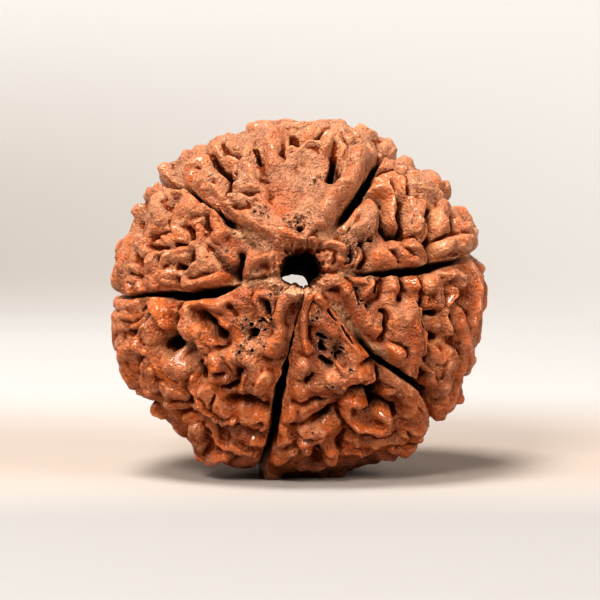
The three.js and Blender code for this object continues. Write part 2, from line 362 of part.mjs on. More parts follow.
const bottomLobe = [
  plate([[6.6, -5.8], [7.4, -6.5], [7.3, -7.4]], 0.85, 0),
  plate([[4.4, -9.2], [5.4, -9.0]], 0.9, -0.15),
  plate([[0.6, -6.2], [1.4, -6.5]], 0.8, -0.2),
  plate([[0.5, -3.2], [0.6, -2.2]], 0.7, -0.2),
  ridge([[0.6, 0.2], [0.3, -0.6], [0.35, -1.5], [0.4, -2.4], [0.6, -3.3]], 0.35, 0.25),
  plate([[0.2, -4.3], [-0.1, -4.9]], 0.5, 0.05),
  ridge([[-0.2, -5.8], [0.1, -6.5]], 0.5, 0.05),
  ridge([[-0.7, -7.2], [-0.6, -7.7], [-0.9, -8.0]], 0.4, 0),
  ridge([[-1.0, -8.6], [-0.8, -9.2], [-1.2, -9.5]], 0.35, 0),
  ridge([[-1.8, -10.6], [-1.2, -10.2], [-0.5, -9.8]], 0.42, 0.1),
  ridge([[1.3, 0.0], [1.9, -0.8], [2.6, -1.6], [3.3, -2.5], [3.9, -3.3], [4.3, -3.9]], 0.4, 0),
  plate([[1.0, -0.6], [1.5, -1.6], [2.2, -2.0]], 0.6, -0.1),
  pit([[1.3, -2.35], [1.65, -2.6]], 0.2, 1.2),
  plate([[2.3, -2.9], [2.9, -3.6], [2.4, -4.2]], 0.5, -0.3),
  pit([[1.4, -2.9], [1.35, -3.3], [1.6, -3.6]], 0.24, 1.3),
  pit([[1.5, -4.1], [2.1, -4.5]], 0.24, 1.2),
  plate([[3.4, -3.4], [3.8, -4.3], [3.6, -5.1], [3.0, -5.4]], 0.6, -0.05),
  plate([[4.0, -4.8], [4.7, -5.0]], 0.5, 0.05),
  ridge([[4.9, -4.8], [5.0, -5.4], [4.5, -5.7]], 0.27, 0.1),
  plate([[2.2, -5.3], [2.6, -5.9]], 0.55, 0),
  plate([[1.2, -5.9], [1.6, -6.3]], 0.55, -0.15),
  pit([[0.45, -5.5], [0.9, -5.1]], 0.2, 1.3),
  pit([[1.2, -6.75], [1.9, -6.55], [2.6, -6.3], [3.2, -6.2]], 0.2, 1.3),
  pit([[3.8, -6.1], [4.5, -6.2], [4.9, -6.6]], 0.3, 2),
  pit([[4.4, -7.6], [4.9, -7.25]], 0.3, 2),
  ridge([[2.7, -7.2], [3.3, -6.8], [4.0, -7.0], [4.4, -7.1]], 0.34, 0.15),
  ridge(
    [[3.2, -6.8], [2.8, -7.3], [3.2, -8.0], [4.0, -8.5], [4.9, -8.6], [5.6, -8.3], [5.7, -7.8],
     [5.3, -7.6]],
    0.42, 0.15,
  ),
  ridge([[5.3, -6.5], [5.9, -6.2], [6.4, -5.9]], 0.36, 0.05),
  pit([[5.15, -5.0], [5.25, -5.5]], 0.2, 1.4),
  plate([[5.9, -5.2], [6.8, -5.7], [7.5, -6.3]], 0.6, 0.05),
  plate([[7.7, -6.6], [7.9, -7.4], [7.5, -8.2]], 0.5, 0.1),
  pit([[6.3, -7.2], [6.35, -7.9]], 0.24, 1.5),
  plate([[6.9, -7.6], [7.0, -8.2]], 0.45, -0.4),
  plate([[6.6, -8.9], [5.8, -9.2], [5.0, -9.3]], 0.45, 0),
  ridge([[7.4, -8.8], [6.6, -9.4], [5.8, -9.6]], 0.36, 0),
  plate([[0.3, -7.5], [0.8, -7.1]], 0.45, -0.1),
  plate([[0.4, -8.6], [1.0, -8.6], [1.3, -8.9]], 0.5, 0),
  ridge([[0.1, -9.3], [0.9, -9.4], [1.5, -9.1]], 0.32, 0.05),
  pit([[1.4, -8.0], [1.9, -7.6]], 0.26, 1.3),
  plate([[2.2, -8.6], [2.4, -9.4]], 0.5, -0.55),
  ridge([[2.0, -9.9], [1.8, -10.3]], 0.45, 0.2),
  pit([[1.2, -9.6], [1.1, -10.1]], 0.25, 1.6),
  ridge([[0.3, -9.9], [0.7, -10.0]], 0.32, 0.05),
  ridge([[0.3, -10.9], [1.0, -10.9], [1.6, -10.7]], 0.42, -0.1),
  ridge([[3.0, -10.0], [3.8, -9.9], [4.4, -10.1]], 0.42, -0.1),
  plate([[3.2, -9.0], [3.9, -9.2]], 0.5, -0.3),
  furrow([[4.1, -4.35], [4.6, -4.45], [5.0, -4.4]], 0.15, 1.2),
  furrow([[2.4, -7.3], [1.9, -7.45], [1.4, -7.9], [1.1, -8.1]], 0.17, 1.3),
  furrow([[2.4, -7.6], [3.0, -8.2], [3.6, -8.75], [4.4, -9.05], [5.3, -9.2], [6.2, -8.9]], 0.15, 1.0),
  furrow([[-0.3, -10.15], [0.5, -10.35], [1.0, -10.5]], 0.14, 0.9),
  furrow([[6.0, -9.5], [6.6, -9.2], [7.5, -8.8]], 0.12, 0.6),
  furrow([[5.2, -7.0], [5.6, -6.95], [6.1, -7.1]], 0.14, 1.0),
  furrow([[0.95, -4.2], [1.0, -4.8], [0.6, -5.1]], 0.13, 0.7),
  furrow([[1.0, -6.8], [0.5, -6.9], [0.0, -7.0], [-0.5, -6.9]], 0.14, 0.8),
  furrow([[0.9, -1.9], [0.85, -2.6], [0.95, -3.4]], 0.13, 0.7),
  furrow([[2.5, -9.8], [2.7, -9.3], [3.0, -8.9]], 0.16, 0.9),
  furrow([[-0.4, -8.4], [0.2, -8.2], [0.8, -8.0]], 0.12, 0.7),
  furrow([[5.0, -4.6], [5.4, -5.2], [5.3, -5.8]], 0.12, 0.7),
];

const lowerLeftLobe = [
  plate([[-5.9, -2.6], [-5.4, -3.4]], 0.85, -0.15),
  plate([[-3.6, -4.6], [-3.2, -5.6], [-2.4, -6.4]], 1.1, -0.15),
  plate([[-5.6, -6.0], [-5.0, -7.0]], 1.0, -0.1),
  plate([[-8.9, -5.0], [-8.2, -6.0]], 1.1, -0.1),
  plate([[-9.8, -2.6], [-9.6, -3.6]], 0.8, -0.15),
  ridge([[0.05, 0.5], [-0.4, 0.2], [-1.0, -0.4], [-1.3, -1.0], [-1.35, -1.8], [-1.4, -2.6]], 0.4, 0.35),
  ridge([[-1.5, -2.9], [-1.9, -3.4]], 0.55, 0.15),
  ridge(
    [[-2.0, -1.4], [-2.5, -0.7], [-2.9, -0.1], [-2.7, 0.3], [-2.2, 0.3], [-1.8, 0.0], [-1.8, -0.6]],
    0.25, 0.05,
  ),
  pit([[-2.3, -0.3], [-2.1, -0.7]], 0.2, 1.2),
  pit([[-2.4, -1.2], [-1.9, -1.7]], 0.16, 1.1),
  plate([[-4.0, -0.8], [-3.6, -1.7], [-3.5, -2.6]], 0.6, -0.35),
  pit([[-3.05, -2.2], [-3.0, -2.4]], 0.33, 1.6),
  plate([[-3.6, 0.4], [-3.0, 0.9], [-2.2, 1.1]], 0.42, -0.25),
  plate([[-1.6, 0.9], [-1.0, 0.7]], 0.45, -0.2),
  ridge([[-7.4, -0.55], [-6.4, -0.55], [-5.4, -0.45], [-4.7, -0.3]], 0.45, 0.1),
  ridge([[-4.7, -0.3], [-4.5, -0.8]], 0.3, 0.05),
  ridge([[-6.6, -0.9], [-5.8, -1.2], [-5.1, -1.5], [-4.6, -1.8]], 0.3, 0.05),
  plate([[-7.5, -0.9], [-7.4, -1.8], [-7.3, -2.4]], 0.5, 0.1),
  plate([[-6.9, -1.9], [-6.7, -2.8], [-6.4, -3.4]], 0.55, 0),
  pit([[-6.1, -1.5], [-5.6, -1.8], [-5.2, -2.4]], 0.33, 1.6),
  ridge([[-6.1, -2.1], [-5.8, -2.6], [-5.4, -2.85]], 0.27, -0.1),
  plate([[-5.0, -3.3], [-4.6, -3.4], [-4.4, -4.2]], 0.42, 0),
  ridge([[-4.5, -3.3], [-4.5, -4.2], [-4.2, -4.9]], 0.28, 0.1),
  ridge([[-6.9, -3.1], [-6.6, -3.6], [-6.2, -4.1]], 0.32, 0.1),
  ridge([[-5.7, -4.1], [-5.5, -4.5]], 0.5, 0.1),
  pit([[-6.6, -4.4], [-6.45, -5.2]], 0.3, 2.2),
  plate([[-5.6, -5.2], [-5.0, -5.5]], 0.6, -0.1),
  ridge(
    [[-6.9, -5.2], [-7.1, -5.8], [-6.8, -6.4], [-6.3, -7.0], [-5.7, -7.7], [-5.0, -8.1], [-4.2, -8.0]],
    0.28, 0.15,
  ),
  plate([[-6.2, -6.1], [-5.6, -6.8], [-4.9, -7.3]], 0.6, 0),
  pit([[-4.3, -6.9], [-3.7, -6.9]], 0.3, 0.95),
  plate([[-3.3, -4.2], [-3.0, -5.0]], 0.55, 0),
  plate([[-2.2, -5.2], [-2.5, -5.9]], 0.5, 0.15),
  ridge([[-3.7, -5.2], [-3.9, -6.0], [-3.6, -6.5]], 0.3, 0.1),
  ridge([[-2.6, -6.5], [-2.4, -6.8]], 0.32, 0),
  ridge([[-2.8, -7.6], [-2.3, -7.6], [-2.1, -8.2], [-2.3, -8.6]], 0.4, 0.1),
  plate([[-3.3, -7.9], [-2.9, -8.3]], 0.5, -0.1),
  pit([[-5.0, -8.5], [-4.2, -8.5]], 0.28, 1.9),
  ridge([[-5.9, -8.3], [-5.6, -9.0], [-5.1, -9.4], [-4.3, -9.4], [-3.6, -9.8], [-3.0, -10.1]], 0.32, 0.1),
  plate([[-4.2, -9.0], [-3.4, -9.3], [-2.8, -9.4]], 0.4, -0.2),
  ridge([[-2.8, -9.3], [-2.3, -9.4]], 0.4, 0.05),
  plate([[-6.6, -8.3], [-6.5, -9.0], [-6.0, -9.8]], 0.5, 0.1),
  ridge([[-6.2, -9.8], [-5.2, -9.9], [-4.6, -9.9]], 0.45, 0.35),
  ridge([[-4.2, -10.4], [-3.3, -10.5], [-2.6, -10.6]], 0.42, -0.1),
  ridge([[-9.4, -0.3], [-9.0, -0.9], [-8.7, -1.6], [-8.5, -2.1]], 0.45, 0.2),
  ridge([[-9.8, -0.6], [-9.4, -0.3]], 0.4, 0.1),
  plate([[-9.6, -1.7], [-9.4, -2.4]], 0.6, -0.05),
  ridge([[-10.2, -1.8], [-10.6, -2.6], [-10.4, -3.1]], 0.36, 0.05),
  pit([[-8.9, -3.3], [-8.5, -3.15]], 0.5, 2.2),
  plate([[-7.9, -3.2], [-7.4, -3.3]], 0.4, -0.6),
  plate([[-8.6, -4.3], [-8.0, -4.7], [-7.6, -4.6]], 0.7, 0),
  ridge([[-9.7, -4.1], [-9.9, -4.6]], 0.4, 0.1),
  plate([[-9.4, -4.8], [-9.3, -5.6]], 0.55, 0.05),
  plate([[-8.6, -5.6], [-8.0, -6.0], [-7.7, -6.3]], 0.6, 0.05),
  ridge([[-10.0, -4.9], [-9.8, -5.7], [-9.4, -6.0]], 0.27, 0.1),
  ridge([[-10.3, -3.3], [-9.8, -3.3]], 0.4, 0.05),
  ridge([[-7.6, -5.3], [-7.7, -6.0], [-7.3, -6.5]], 0.3, 0),
  plate([[-8.3, -6.9], [-7.4, -7.1], [-6.6, -7.2]], 0.38, 0.05),
  ridge([[-10.9, -3.0], [-11.0, -3.9], [-10.9, -4.8], [-10.5, -5.4]], 0.4, 0),
  ridge([[-10.2, -6.0], [-9.8, -6.2]], 0.27, -0.1),
  plate([[-7.2, -7.8], [-6.6, -7.9]], 0.45, -0.2),
  ridge([[-11.7, -0.5], [-11.3, -0.3], [-10.9, -0.2]], 0.4, 0),
  ridge([[-11.4, -1.0], [-11.0, -1.2]], 0.36, 0),
  ridge([[-11.5, -1.7], [-11.0, -1.9], [-10.5, -1.7]], 0.36, -0.05),
  furrow([[-8.2, -3.05], [-7.7, -3.3], [-7.1, -3.35]], 0.36, 1.2),
  furrow([[-8.1, -0.7], [-8.05, -1.6], [-8.15, -2.4], [-8.5, -2.6]], 0.15, 1.4),
  furrow([[-9.6, -1.2], [-9.3, -1.8], [-8.9, -2.3]], 0.12, 0.6),
  furrow([[-9.9, -0.8], [-10.3, -1.4], [-10.5, -2.1], [-11.0, -2.2]], 0.14, 1.0),
  furrow([[-10.15, -3.9], [-10.35, -4.5], [-10.15, -5.2], [-9.95, -6.0]], 0.12, 0.75),
  furrow([[-6.4, -1.35], [-5.7, -1.7], [-5.2, -2.3]], 0.32, 1.1),
  furrow([[-5.9, -3.5], [-5.2, -3.2], [-4.8, -2.9]], 0.13, 0.8),
  furrow([[-6.3, -4.85], [-5.7, -5.0], [-5.1, -4.9]], 0.13, 0.6),
  furrow([[-4.9, -5.95], [-4.3, -5.75], [-4.05, -5.4], [-4.05, -4.9]], 0.18, 1.0),
  furrow([[-4.4, -6.85], [-3.4, -6.8]], 0.33, 1.0),
  furrow([[-3.1, -8.75], [-2.6, -8.9], [-2.0, -8.85]], 0.12, 0.85),
  furrow([[-5.7, -7.95], [-6.3, -7.6], [-7.2, -7.35], [-7.7, -7.35]], 0.13, 0.8),
  furrow([[-5.95, -8.1], [-5.85, -8.8], [-5.3, -9.4]], 0.12, 0.65),
  furrow([[-4.6, -10.2], [-3.6, -10.2], [-2.7, -10.5]], 0.12, 0.8),
  furrow([[-2.1, -4.15], [-1.6, -4.2], [-1.0, -4.05]], 0.11, 0.55),
  furrow([[-7.3, -5.0], [-7.35, -5.6], [-7.0, -6.2], [-7.1, -6.9]], 0.12, 0.65),
  furrow([[-5.5, -6.2], [-5.7, -6.9], [-5.4, -7.5]], 0.12, 0.4),
  furrow([[-3.2, -6.9], [-2.6, -7.0], [-2.2, -7.1]], 0.12, 0.8),
  furrow([[-4.6, -0.6], [-4.2, -1.2], [-4.3, -1.8], [-4.7, -2.5]], 0.2, 0.7),
];

const upperLeftLobe = [
  plate([[-8.6, 3.6], [-7.6, 4.4]], 1.0, -0.15),
  plate([[-9.9, 2.2], [-9.6, 3.2]], 0.9, -0.15),
  plate([[-6.4, 4.0], [-5.6, 3.6]], 0.8, -0.2),
  plate([[-9.3, 6.3], [-8.8, 6.7]], 0.7, 0),
  plate([[-9.4, 5.6], [-8.9, 5.2]], 0.5, 0),
  ridge([[-9.5, 4.8], [-9.3, 4.3]], 0.4, -0.2),
  ridge([[-10.0, 4.0], [-9.7, 4.4]], 0.4, -0.15),
  ridge([[-8.6, 6.2], [-8.2, 6.8], [-7.6, 6.9], [-7.1, 6.5], [-6.8, 6.3]], 0.3, 0.1),
  pit([[-8.2, 6.05], [-8.25, 5.85]], 0.27, 1.6),
  ridge([[-8.35, 5.0], [-8.0, 5.5], [-7.85, 5.9]], 0.22, 0.1),
  plate([[-7.6, 6.3], [-7.2, 5.8], [-7.6, 5.2]], 0.45, 0),
  plate([[-7.0, 5.8], [-6.4, 5.9]], 0.4, 0),
  ridge([[-5.9, 5.7], [-5.7, 5.2]], 0.4, 0.2),
  ridge([[-5.5, 4.7], [-5.1, 4.5], [-5.4, 4.2]], 0.45, 0.2),
  ridge([[-7.0, 5.0], [-6.6, 5.2], [-6.2, 5.3]], 0.3, 0),
  ridge([[-6.75, 4.7], [-6.6, 4.7]], 0.34, 0),
  ridge([[-8.3, 4.8], [-7.9, 4.4], [-7.6, 4.1]], 0.45, 0.05),
  ridge([[-8.9, 4.0], [-8.6, 3.6], [-8.1, 3.9], [-7.5, 3.9]], 0.4, 0),
  pit([[-8.1, 3.45], [-7.7, 3.4]], 0.18, 1.1),
  ridge([[-6.7, 4.2], [-6.6, 3.8]], 0.36, -0.1),
  ridge([[-5.9, 3.9], [-5.4, 3.6]], 0.4, -0.3),
  plate([[-5.4, 2.9], [-4.7, 2.6], [-4.0, 3.0]], 0.55, -0.4),
  ridge(
    [[-3.9, 1.9], [-3.4, 1.85], [-2.9, 2.3], [-2.3, 2.7], [-1.8, 2.8], [-1.4, 2.4], [-1.25, 2.1]],
    0.36, 0.4,
  ),
  plate([[-2.6, 1.5], [-1.8, 1.4]], 0.45, -0.3),
  ridge([[-7.6, 1.1], [-7.2, 1.0], [-6.4, 1.0], [-5.6, 1.3], [-4.9, 1.6]], 0.42, 0.15),
  plate([[-7.2, 1.6], [-6.4, 2.0], [-5.6, 1.9]], 0.5, 0),
  plate([[-6.4, 2.4], [-6.4, 3.0]], 0.38, 0),
  ridge([[-9.2, 1.5], [-8.9, 2.2], [-8.3, 2.8], [-7.5, 3.1], [-6.9, 3.3]], 0.35, 0.1),
  plate([[-8.0, 2.6], [-7.4, 2.8]], 0.36, -0.05),
  pit([[-7.9, 2.05], [-7.3, 2.1], [-7.0, 2.5]], 0.25, 1),
  ridge([[-9.0, 1.3], [-8.3, 1.6], [-7.9, 1.5]], 0.4, 0.05),
  ridge([[-8.8, 0.95], [-8.2, 0.95]], 0.27, 0),
  pit([[-9.2, 2.5], [-9.15, 2.0]], 0.25, 1.3),
  ridge([[-10.1, 1.6], [-9.8, 2.2], [-9.4, 2.8], [-8.8, 2.9]], 0.3, 0.05),
  plate([[-9.9, 1.2], [-9.5, 0.9]], 0.5, 0),
  plate([[-10.5, 3.2], [-10.0, 3.0], [-10.0, 3.5]], 0.5, 0),
  ridge([[-11.2, 2.7], [-11.3, 2.1]], 0.4, 0),
  plate([[-10.9, 2.0], [-10.9, 1.4]], 0.4, 0),
  ridge([[-11.1, 0.8], [-11.1, 0.4]], 0.36, 0.05),
  ridge([[-10.6, 0.8], [-10.2, 0.6]], 0.36, 0),
  furrow([[-8.75, 6.9], [-8.75, 6.2], [-8.6, 5.7]], 0.14, 0.6),
  furrow([[-8.5, 5.1], [-8.4, 4.5], [-8.9, 4.3], [-9.5, 4.1]], 0.18, 0.8),
  furrow([[-6.2, 5.4], [-6.35, 4.9], [-6.0, 4.7], [-5.9, 4.3]], 0.14, 0.75),
  furrow([[-7.25, 4.8], [-7.1, 4.3], [-7.25, 3.6]], 0.16, 1.0),
  furrow([[-9.6, 3.5], [-9.2, 3.2], [-8.7, 3.2]], 0.14, 0.75),
  furrow([[-8.0, 1.25], [-8.0, 0.7]], 0.13, 1.0),
  furrow([[-10.95, 1.6], [-10.4, 1.2], [-10.2, 0.8]], 0.12, 0.65),
  furrow([[-4.05, 2.9], [-4.1, 2.2], [-4.25, 1.6]], 0.17, 1.4),
  furrow([[-6.2, 4.2], [-6.2, 3.7], [-5.8, 3.3]], 0.14, 0.7),
  furrow([[-5.7, 3.1], [-5.4, 2.6], [-4.9, 2.1], [-4.6, 1.9]], 0.17, 0.8),
  furrow([[-10.6, 2.9], [-10.5, 2.5], [-10.3, 2.0]], 0.12, 0.7),
  furrow([[-7.6, 1.5], [-6.8, 1.3], [-5.9, 1.5], [-5.2, 1.9]], 0.12, 0.35),
];

// Broad soft swells and hollows under the relief.
const broadForms = [
  broad([[0.3, 9.0], [0.1, 7.2], [-0.1, 5.6]], 1.7, -0.5),
  broad([[-4.6, 6.2], [-2.6, 4.8], [-0.6, 4.2]], 0.8, 0.25),
  broad([[4.0, 9.3], [3.1, 7.6], [2.1, 6.2], [1.2, 5.1]], 0.8, 0.3),
  broad([[4.6, 5.9], [4.2, 4.6]], 0.8, 0.25),
  broad([[-4.6, 3.4], [-3.2, 3.6]], 0.9, -0.35),
  broad([[8.4, 8.0], [9.2, 7.0]], 1.3, -0.3),
  broad([[5.4, 10.1], [6.6, 9.4]], 1.3, -0.55),
  broad([[-6.3, 9.5], [-5.0, 10.2]], 1.2, 0.5),
  broad([[-9.2, 7.2], [-8.7, 7.7]], 0.9, 0.45),
  broad([[-10.6, 5.2], [-9.9, 6.2]], 1.2, -0.55),
  broad([[-11.7, 1.6], [-11.8, 0.2]], 1.3, 0.3),
  broad([[-11.1, -3.7], [-10.2, -5.9]], 1.4, 0.4),
  broad([[7.0, -9.4], [9.3, -7.2]], 1.6, 0.5),
  broad([[-4.8, -10.3], [-3.0, -10.9]], 1.2, 0.35),
];

// Out of the eye's sight, four broad knobs under the seed carry it, at these polar angles and turns.
const RESTING_KNOBS = [[92, 265], [92, 277], [103, 264.5], [103.5, 277]];
const restingKnobs = RESTING_KNOBS.map(([polar, turn]) => {
  return stroke([onBody(polar, turn - 2), onBody(polar, turn + 2)], 0.95, 0.35, FLAT, true);
});

const strokes = [
  topLobe,
  upperRightLobe,
  lowerRightLobe,
  bottomLobe,
  lowerLeftLobe,
  upperLeftLobe,
  restingKnobs,
].flat();

for (const cleft of clefts) {
  cleft.stations = cleft.chart.map(([u, v, half, depth, valley]) => {
    const point = fromChart([u, v]);
    return [polarOf(point), turnOf(point), half, depth, valley];
  });
  const lastTurn = cleft.stations.at(-1)[1];
  for (const [i, polar] of STRAY_POLARS.entries()) {
    cleft.stations.push([polar, lastTurn + cleft.stray[i], ...STRAY_SLOTS[i]]);
  }
}

// A cleft's turn and sizes at any polar angle.
function cleftAt({ stations }, polar) {
  const next = stations.findIndex(([reached]) => reached >= polar);
  const from = stations.at(next < 0 ? -1 : Math.max(0, next - 1));
  const to = stations.at(next);
  const share = to[0] > from[0] ? (polar - from[0]) / (to[0] - from[0]) : 0;
  const [turn, half, depth, valley] = [1, 2, 3, 4].map((which) => lerp(from[which], to[which], share));
  return { turn, half, depth, valley };
}

// The back and the sides aren't in the chart: there the relief follows a rule with a little chance in it.
let state = 11;
function chance(low, high) {
  state = (state * 16807) % 2147483647;
  return lerp(low, high, state / 2147483647);
}

function distanceTo({ line }, point) {
  const nearest = at(0, 0, 0);
  let least = Infinity;
  for (let i = 1; i < line.length; i++) {
    new THREE.Line3(line[i - 1], line[i]).closestPointToPoint(point, true, nearest);
    least = Math.min(least, nearest.distanceTo(point));
  }
  return least;
}

const charted = strokes.slice();
function isCharted(point) {
  if (facing(point) > 0.28) return true;
  return charted.some((mark) => distanceTo(mark, point) < mark.half + 0.55);
}

// A line on the body that starts at one place and wanders on from it. The heading is in degrees from
// straight down the back, and the bend is added to it at each of the two steps.
function wanderingLine(polar, turn, length, heading, bend) {
  const line = [onBody(polar, turn)];
  for (let step = 0; step < 2; step++) {
    const start = line.at(-1);
    const ahead = 0.5 * length;
    polar += radToDeg((ahead * Math.cos(degToRad(heading))) / start.distanceTo(boreMiddle));
    turn += radToDeg((ahead * Math.sin(degToRad(heading))) / fromBore(start));
    line.push(onBody(polar, turn));
    heading += bend;
  }
  return line;
}

// Knobbed lips run along both sides of each cleft.
for (const cleft of clefts) {
  for (const side of [-1, 1]) {
    let polar = 84;
    while (polar < 164) {
      const length = chance(1.5, 2.6);
      const out = chance(0.78, 0.95);
      const half = chance(0.4, 0.55);
      const level = chance(0.0, 0.25);
      const middle = cleftAt(cleft, polar).turn;
      const turn = middle + side * radToDeg(out / fromBore(onBody(polar, middle)));
      if (!isCharted(onBody(polar, turn))) {
        const line = wanderingLine(polar, turn, length, 0, chance(-15, 15));
        strokes.push(stroke(line, half, level, ROUND, true));
      }
      polar += radToDeg((length + 2 * half) / 10);
    }
  }
}

// Between the lips ridges, plates, furrows and pits lie scattered, as evenly as seeds in a sunflower.
const SCATTER = 620;
for (let i = 0; i < SCATTER; i++) {
  const polar = radToDeg(Math.acos(1 - (2 * i + 1) / SCATTER));
  const turn = i * 137.508;
  const length = chance(0.6, 2.2);
  const heading = chance(0, 360);
  const bend = chance(-60, 60);
  const half = chance(0.36, 0.62);
  const level = chance(-0.2, 0.2);
  const kind = chance(0, 1);
  const point = onBody(polar, turn);
  const nearCleft = clefts.some((cleft) => {
    const away = degToRad(turn - cleftAt(cleft, polar).turn);
    return Math.abs(Math.sin(away)) * fromBore(point) < 1.3 && Math.cos(away) > 0;
  });
  if (isCharted(point) || nearCleft || polar > 168) continue;
  const line = wanderingLine(polar, turn, length, heading, bend);
  if (kind < 0.1) strokes.push(stroke(line, 0.6 * half, -1.2 - half, ROUND, false));
  else if (kind < 0.4) strokes.push(stroke(line, 0.35 * half, -0.8 - half, FLAT, false));
  else if (kind < 0.5) strokes.push(stroke(line, 1.2 * half, level, FLAT, true));
  else strokes.push(stroke(line, half, level, ROUND, true));
}

// An uneven swell from -1 to 1, with hills about `size` apart.
function swell({ x, y, z }, size, phase) {
  const k = (2 * Math.PI) / size;
  const a = Math.sin(0.83 * k * x + 1.3 * Math.sin(0.61 * k * z + phase));
  const b = Math.sin(0.77 * k * y + 1.3 * Math.sin(0.57 * k * x + 2 * phase));
  const c = Math.sin(0.71 * k * z + 1.3 * Math.sin(0.67 * k * y + 3 * phase));
  return (a + b + c) / 3;
}

// The larger of two heights with the crease between them filled, and the smaller with the corner rounded.
const melt = (a, b) => Math.max(a, b) + (Math.max(0, BLEND - Math.abs(a - b)) ** 2) / (4 * BLEND);
const carve = (a, b) => Math.min(a, b) - (Math.max(0, BLEND - Math.abs(a - b)) ** 2) / (4 * BLEND);

// A raised stroke swells softly out of the floor, and a pit or a cleft has steep walls. Both are told
// by the distance from the stroke's line as a share of its half width.
const raisedAt = (share, level, edge) => FLOOR_LEVEL + (level - FLOOR_LEVEL) / (1 + share ** edge);

function sunkAt(share, brim, level) {
  if (share >= 1) return brim - (share - 1) * (level - brim) * 2;
  return brim + (level - brim) * Math.sqrt(1 - share ** 2);
}

// The height of the relief at a point of the smooth body, without the clefts.
function relief(point) {
  const sway = at(swell(point, 2.3, 1), swell(point, 2.3, 2), swell(point, 2.3, 3));
  const shiver = at(swell(point, 0.9, 11), swell(point, 0.9, 12), swell(point, 0.9, 13));
  const moved = point.clone().addScaledVector(sway, WANDER).addScaledVector(shiver, SHIVER);
  const wider = 1 + 0.13 * swell(point, 1.7, 4);
  const lumps = 0.09 * swell(point, 0.9, 5);
  let height = FLOOR_LEVEL + 0.2 * swell(point, 3.1, 6) + lumps;
  const near = strokes.filter(({ around }) => around.containsPoint(moved));
  for (const mark of near.filter(({ raised }) => raised)) {
    const share = distanceTo(mark, moved) / (mark.half * wider);
    height = melt(height, raisedAt(share, mark.level + lumps, mark.edge));
  }
  for (const mark of near.filter(({ raised }) => !raised)) {
    const share = distanceTo(mark, moved) / (mark.half * wider);
    height += SKIRT * mark.level * Math.exp(-(((share * mark.half) / SKIRT_REACH) ** 2));
    if (mark.edge === ROUND) height = carve(height, sunkAt(share, 0.3, mark.level));
    else height += Math.min(0, mark.level - height) / (1 + share ** 3);
  }
  for (const form of broadForms) {
    height += form.rise * Math.exp(-((distanceTo(form, moved) / form.size) ** 2));
  }
  return height;
}

// The mesh is coarser than the finest relief, so each corner takes the mean height of a small patch.
function patchRelief(point, outward) {
  const across = at(0, 1, 0).cross(outward).normalize();
  const down = outward.clone().cross(across);
  let sum = relief(point);
  for (let i = 0; i < PATCH_POINTS; i++) {
    const angle = (2 * Math.PI * i) / PATCH_POINTS;
    const offset = across.clone().multiplyScalar(Math.cos(angle)).addScaledVector(down, Math.sin(angle));
    sum += relief(offset.multiplyScalar(PATCH_RADIUS).add(point));
  }
  return sum / (PATCH_POINTS + 1);
}

// The full height: relief, the valleys and slots of the clefts, and the mouths' rounding.
function heightAt(point, outward, polar, turn) {
  let height = patchRelief(point, outward) * lerp(SIDE_RELIEF, 1, clamp(facing(point) / 0.5, 0, 1));
  for (const cleft of clefts) {
    const slot = cleftAt(cleft, polar);
    const away = degToRad(turn - slot.turn);
    if (Math.cos(away) < 0) continue;
    const across = Math.abs(Math.abs(Math.sin(away)) * fromBore(point) + 0.07 * swell(point, 1.1, 9));
    height -= slot.valley * Math.exp(-((across / VALLEY_REACH) ** 2));
    if (across < 3 * slot.half) height = carve(height, sunkAt(across / slot.half, 0.4, -slot.depth));
  }
  return RELIEF * height - MOUTH_ROUNDING * clamp((2 - fromBore(point)) / 0.6, 0, 1) ** 2;
}

function surface(polar, turn) {
  const point = onBody(polar, turn);
  const outward = outwardOf(point);
  const place = point.clone().addScaledVector(outward, heightAt(point, outward, polar, turn));
  place.applyMatrix4(fromBody);
  // The low knobs are worn to one level, which is the small flat spot that the seed rests on.
  place.z = Math.max(place.z, 0);
  return place;
}

// The columns run down from the front mouth to the back one. They keep to the bottoms and the edges
// of the clefts, and are even in between.
function columnTurns(polar) {
  const turns = [];
  for (const [i, cleft] of clefts.entries()) {
    const nextCleft = clefts[(i + 1) % clefts.length];
    const start = cleftAt(cleft, polar);
    const end = cleftAt(nextCleft, polar);
    if (i + 1 === clefts.length) end.turn += 360;
    const radius = fromBore(onBody(polar, start.turn));
    const most = (end.turn - start.turn) / 5;
    const startLip = Math.min(radToDeg((start.half + 0.07) / radius), most);
    const endLip = Math.min(radToDeg((end.half + 0.07) / radius), most);
    turns.push(start.turn);
    for (let column = 1; column < LOBE_COLUMNS[i]; column++) {
      const share = (column - 1) / (LOBE_COLUMNS[i] - 2);
      turns.push(lerp(start.turn + startLip, end.turn - endLip, share));
    }
  }
  return turns;
}

const mouthPolar = radToDeg(Math.asin(MOUTH_RADIUS / HALF_THICKNESS));
const polars = [];
for (let row = 0; row < FRONT_ROWS; row++) polars.push(lerp(mouthPolar, RIM_POLAR, row / FRONT_ROWS));
for (let row = 0; row <= BACK_ROWS; row++) polars.push(lerp(RIM_POLAR, 180 - mouthPolar, row / BACK_ROWS));

const turnsOfRow = polars.map(columnTurns);
const rows = polars.map((polar, row) => turnsOfRow[row].map((turn) => surface(polar, turn)));

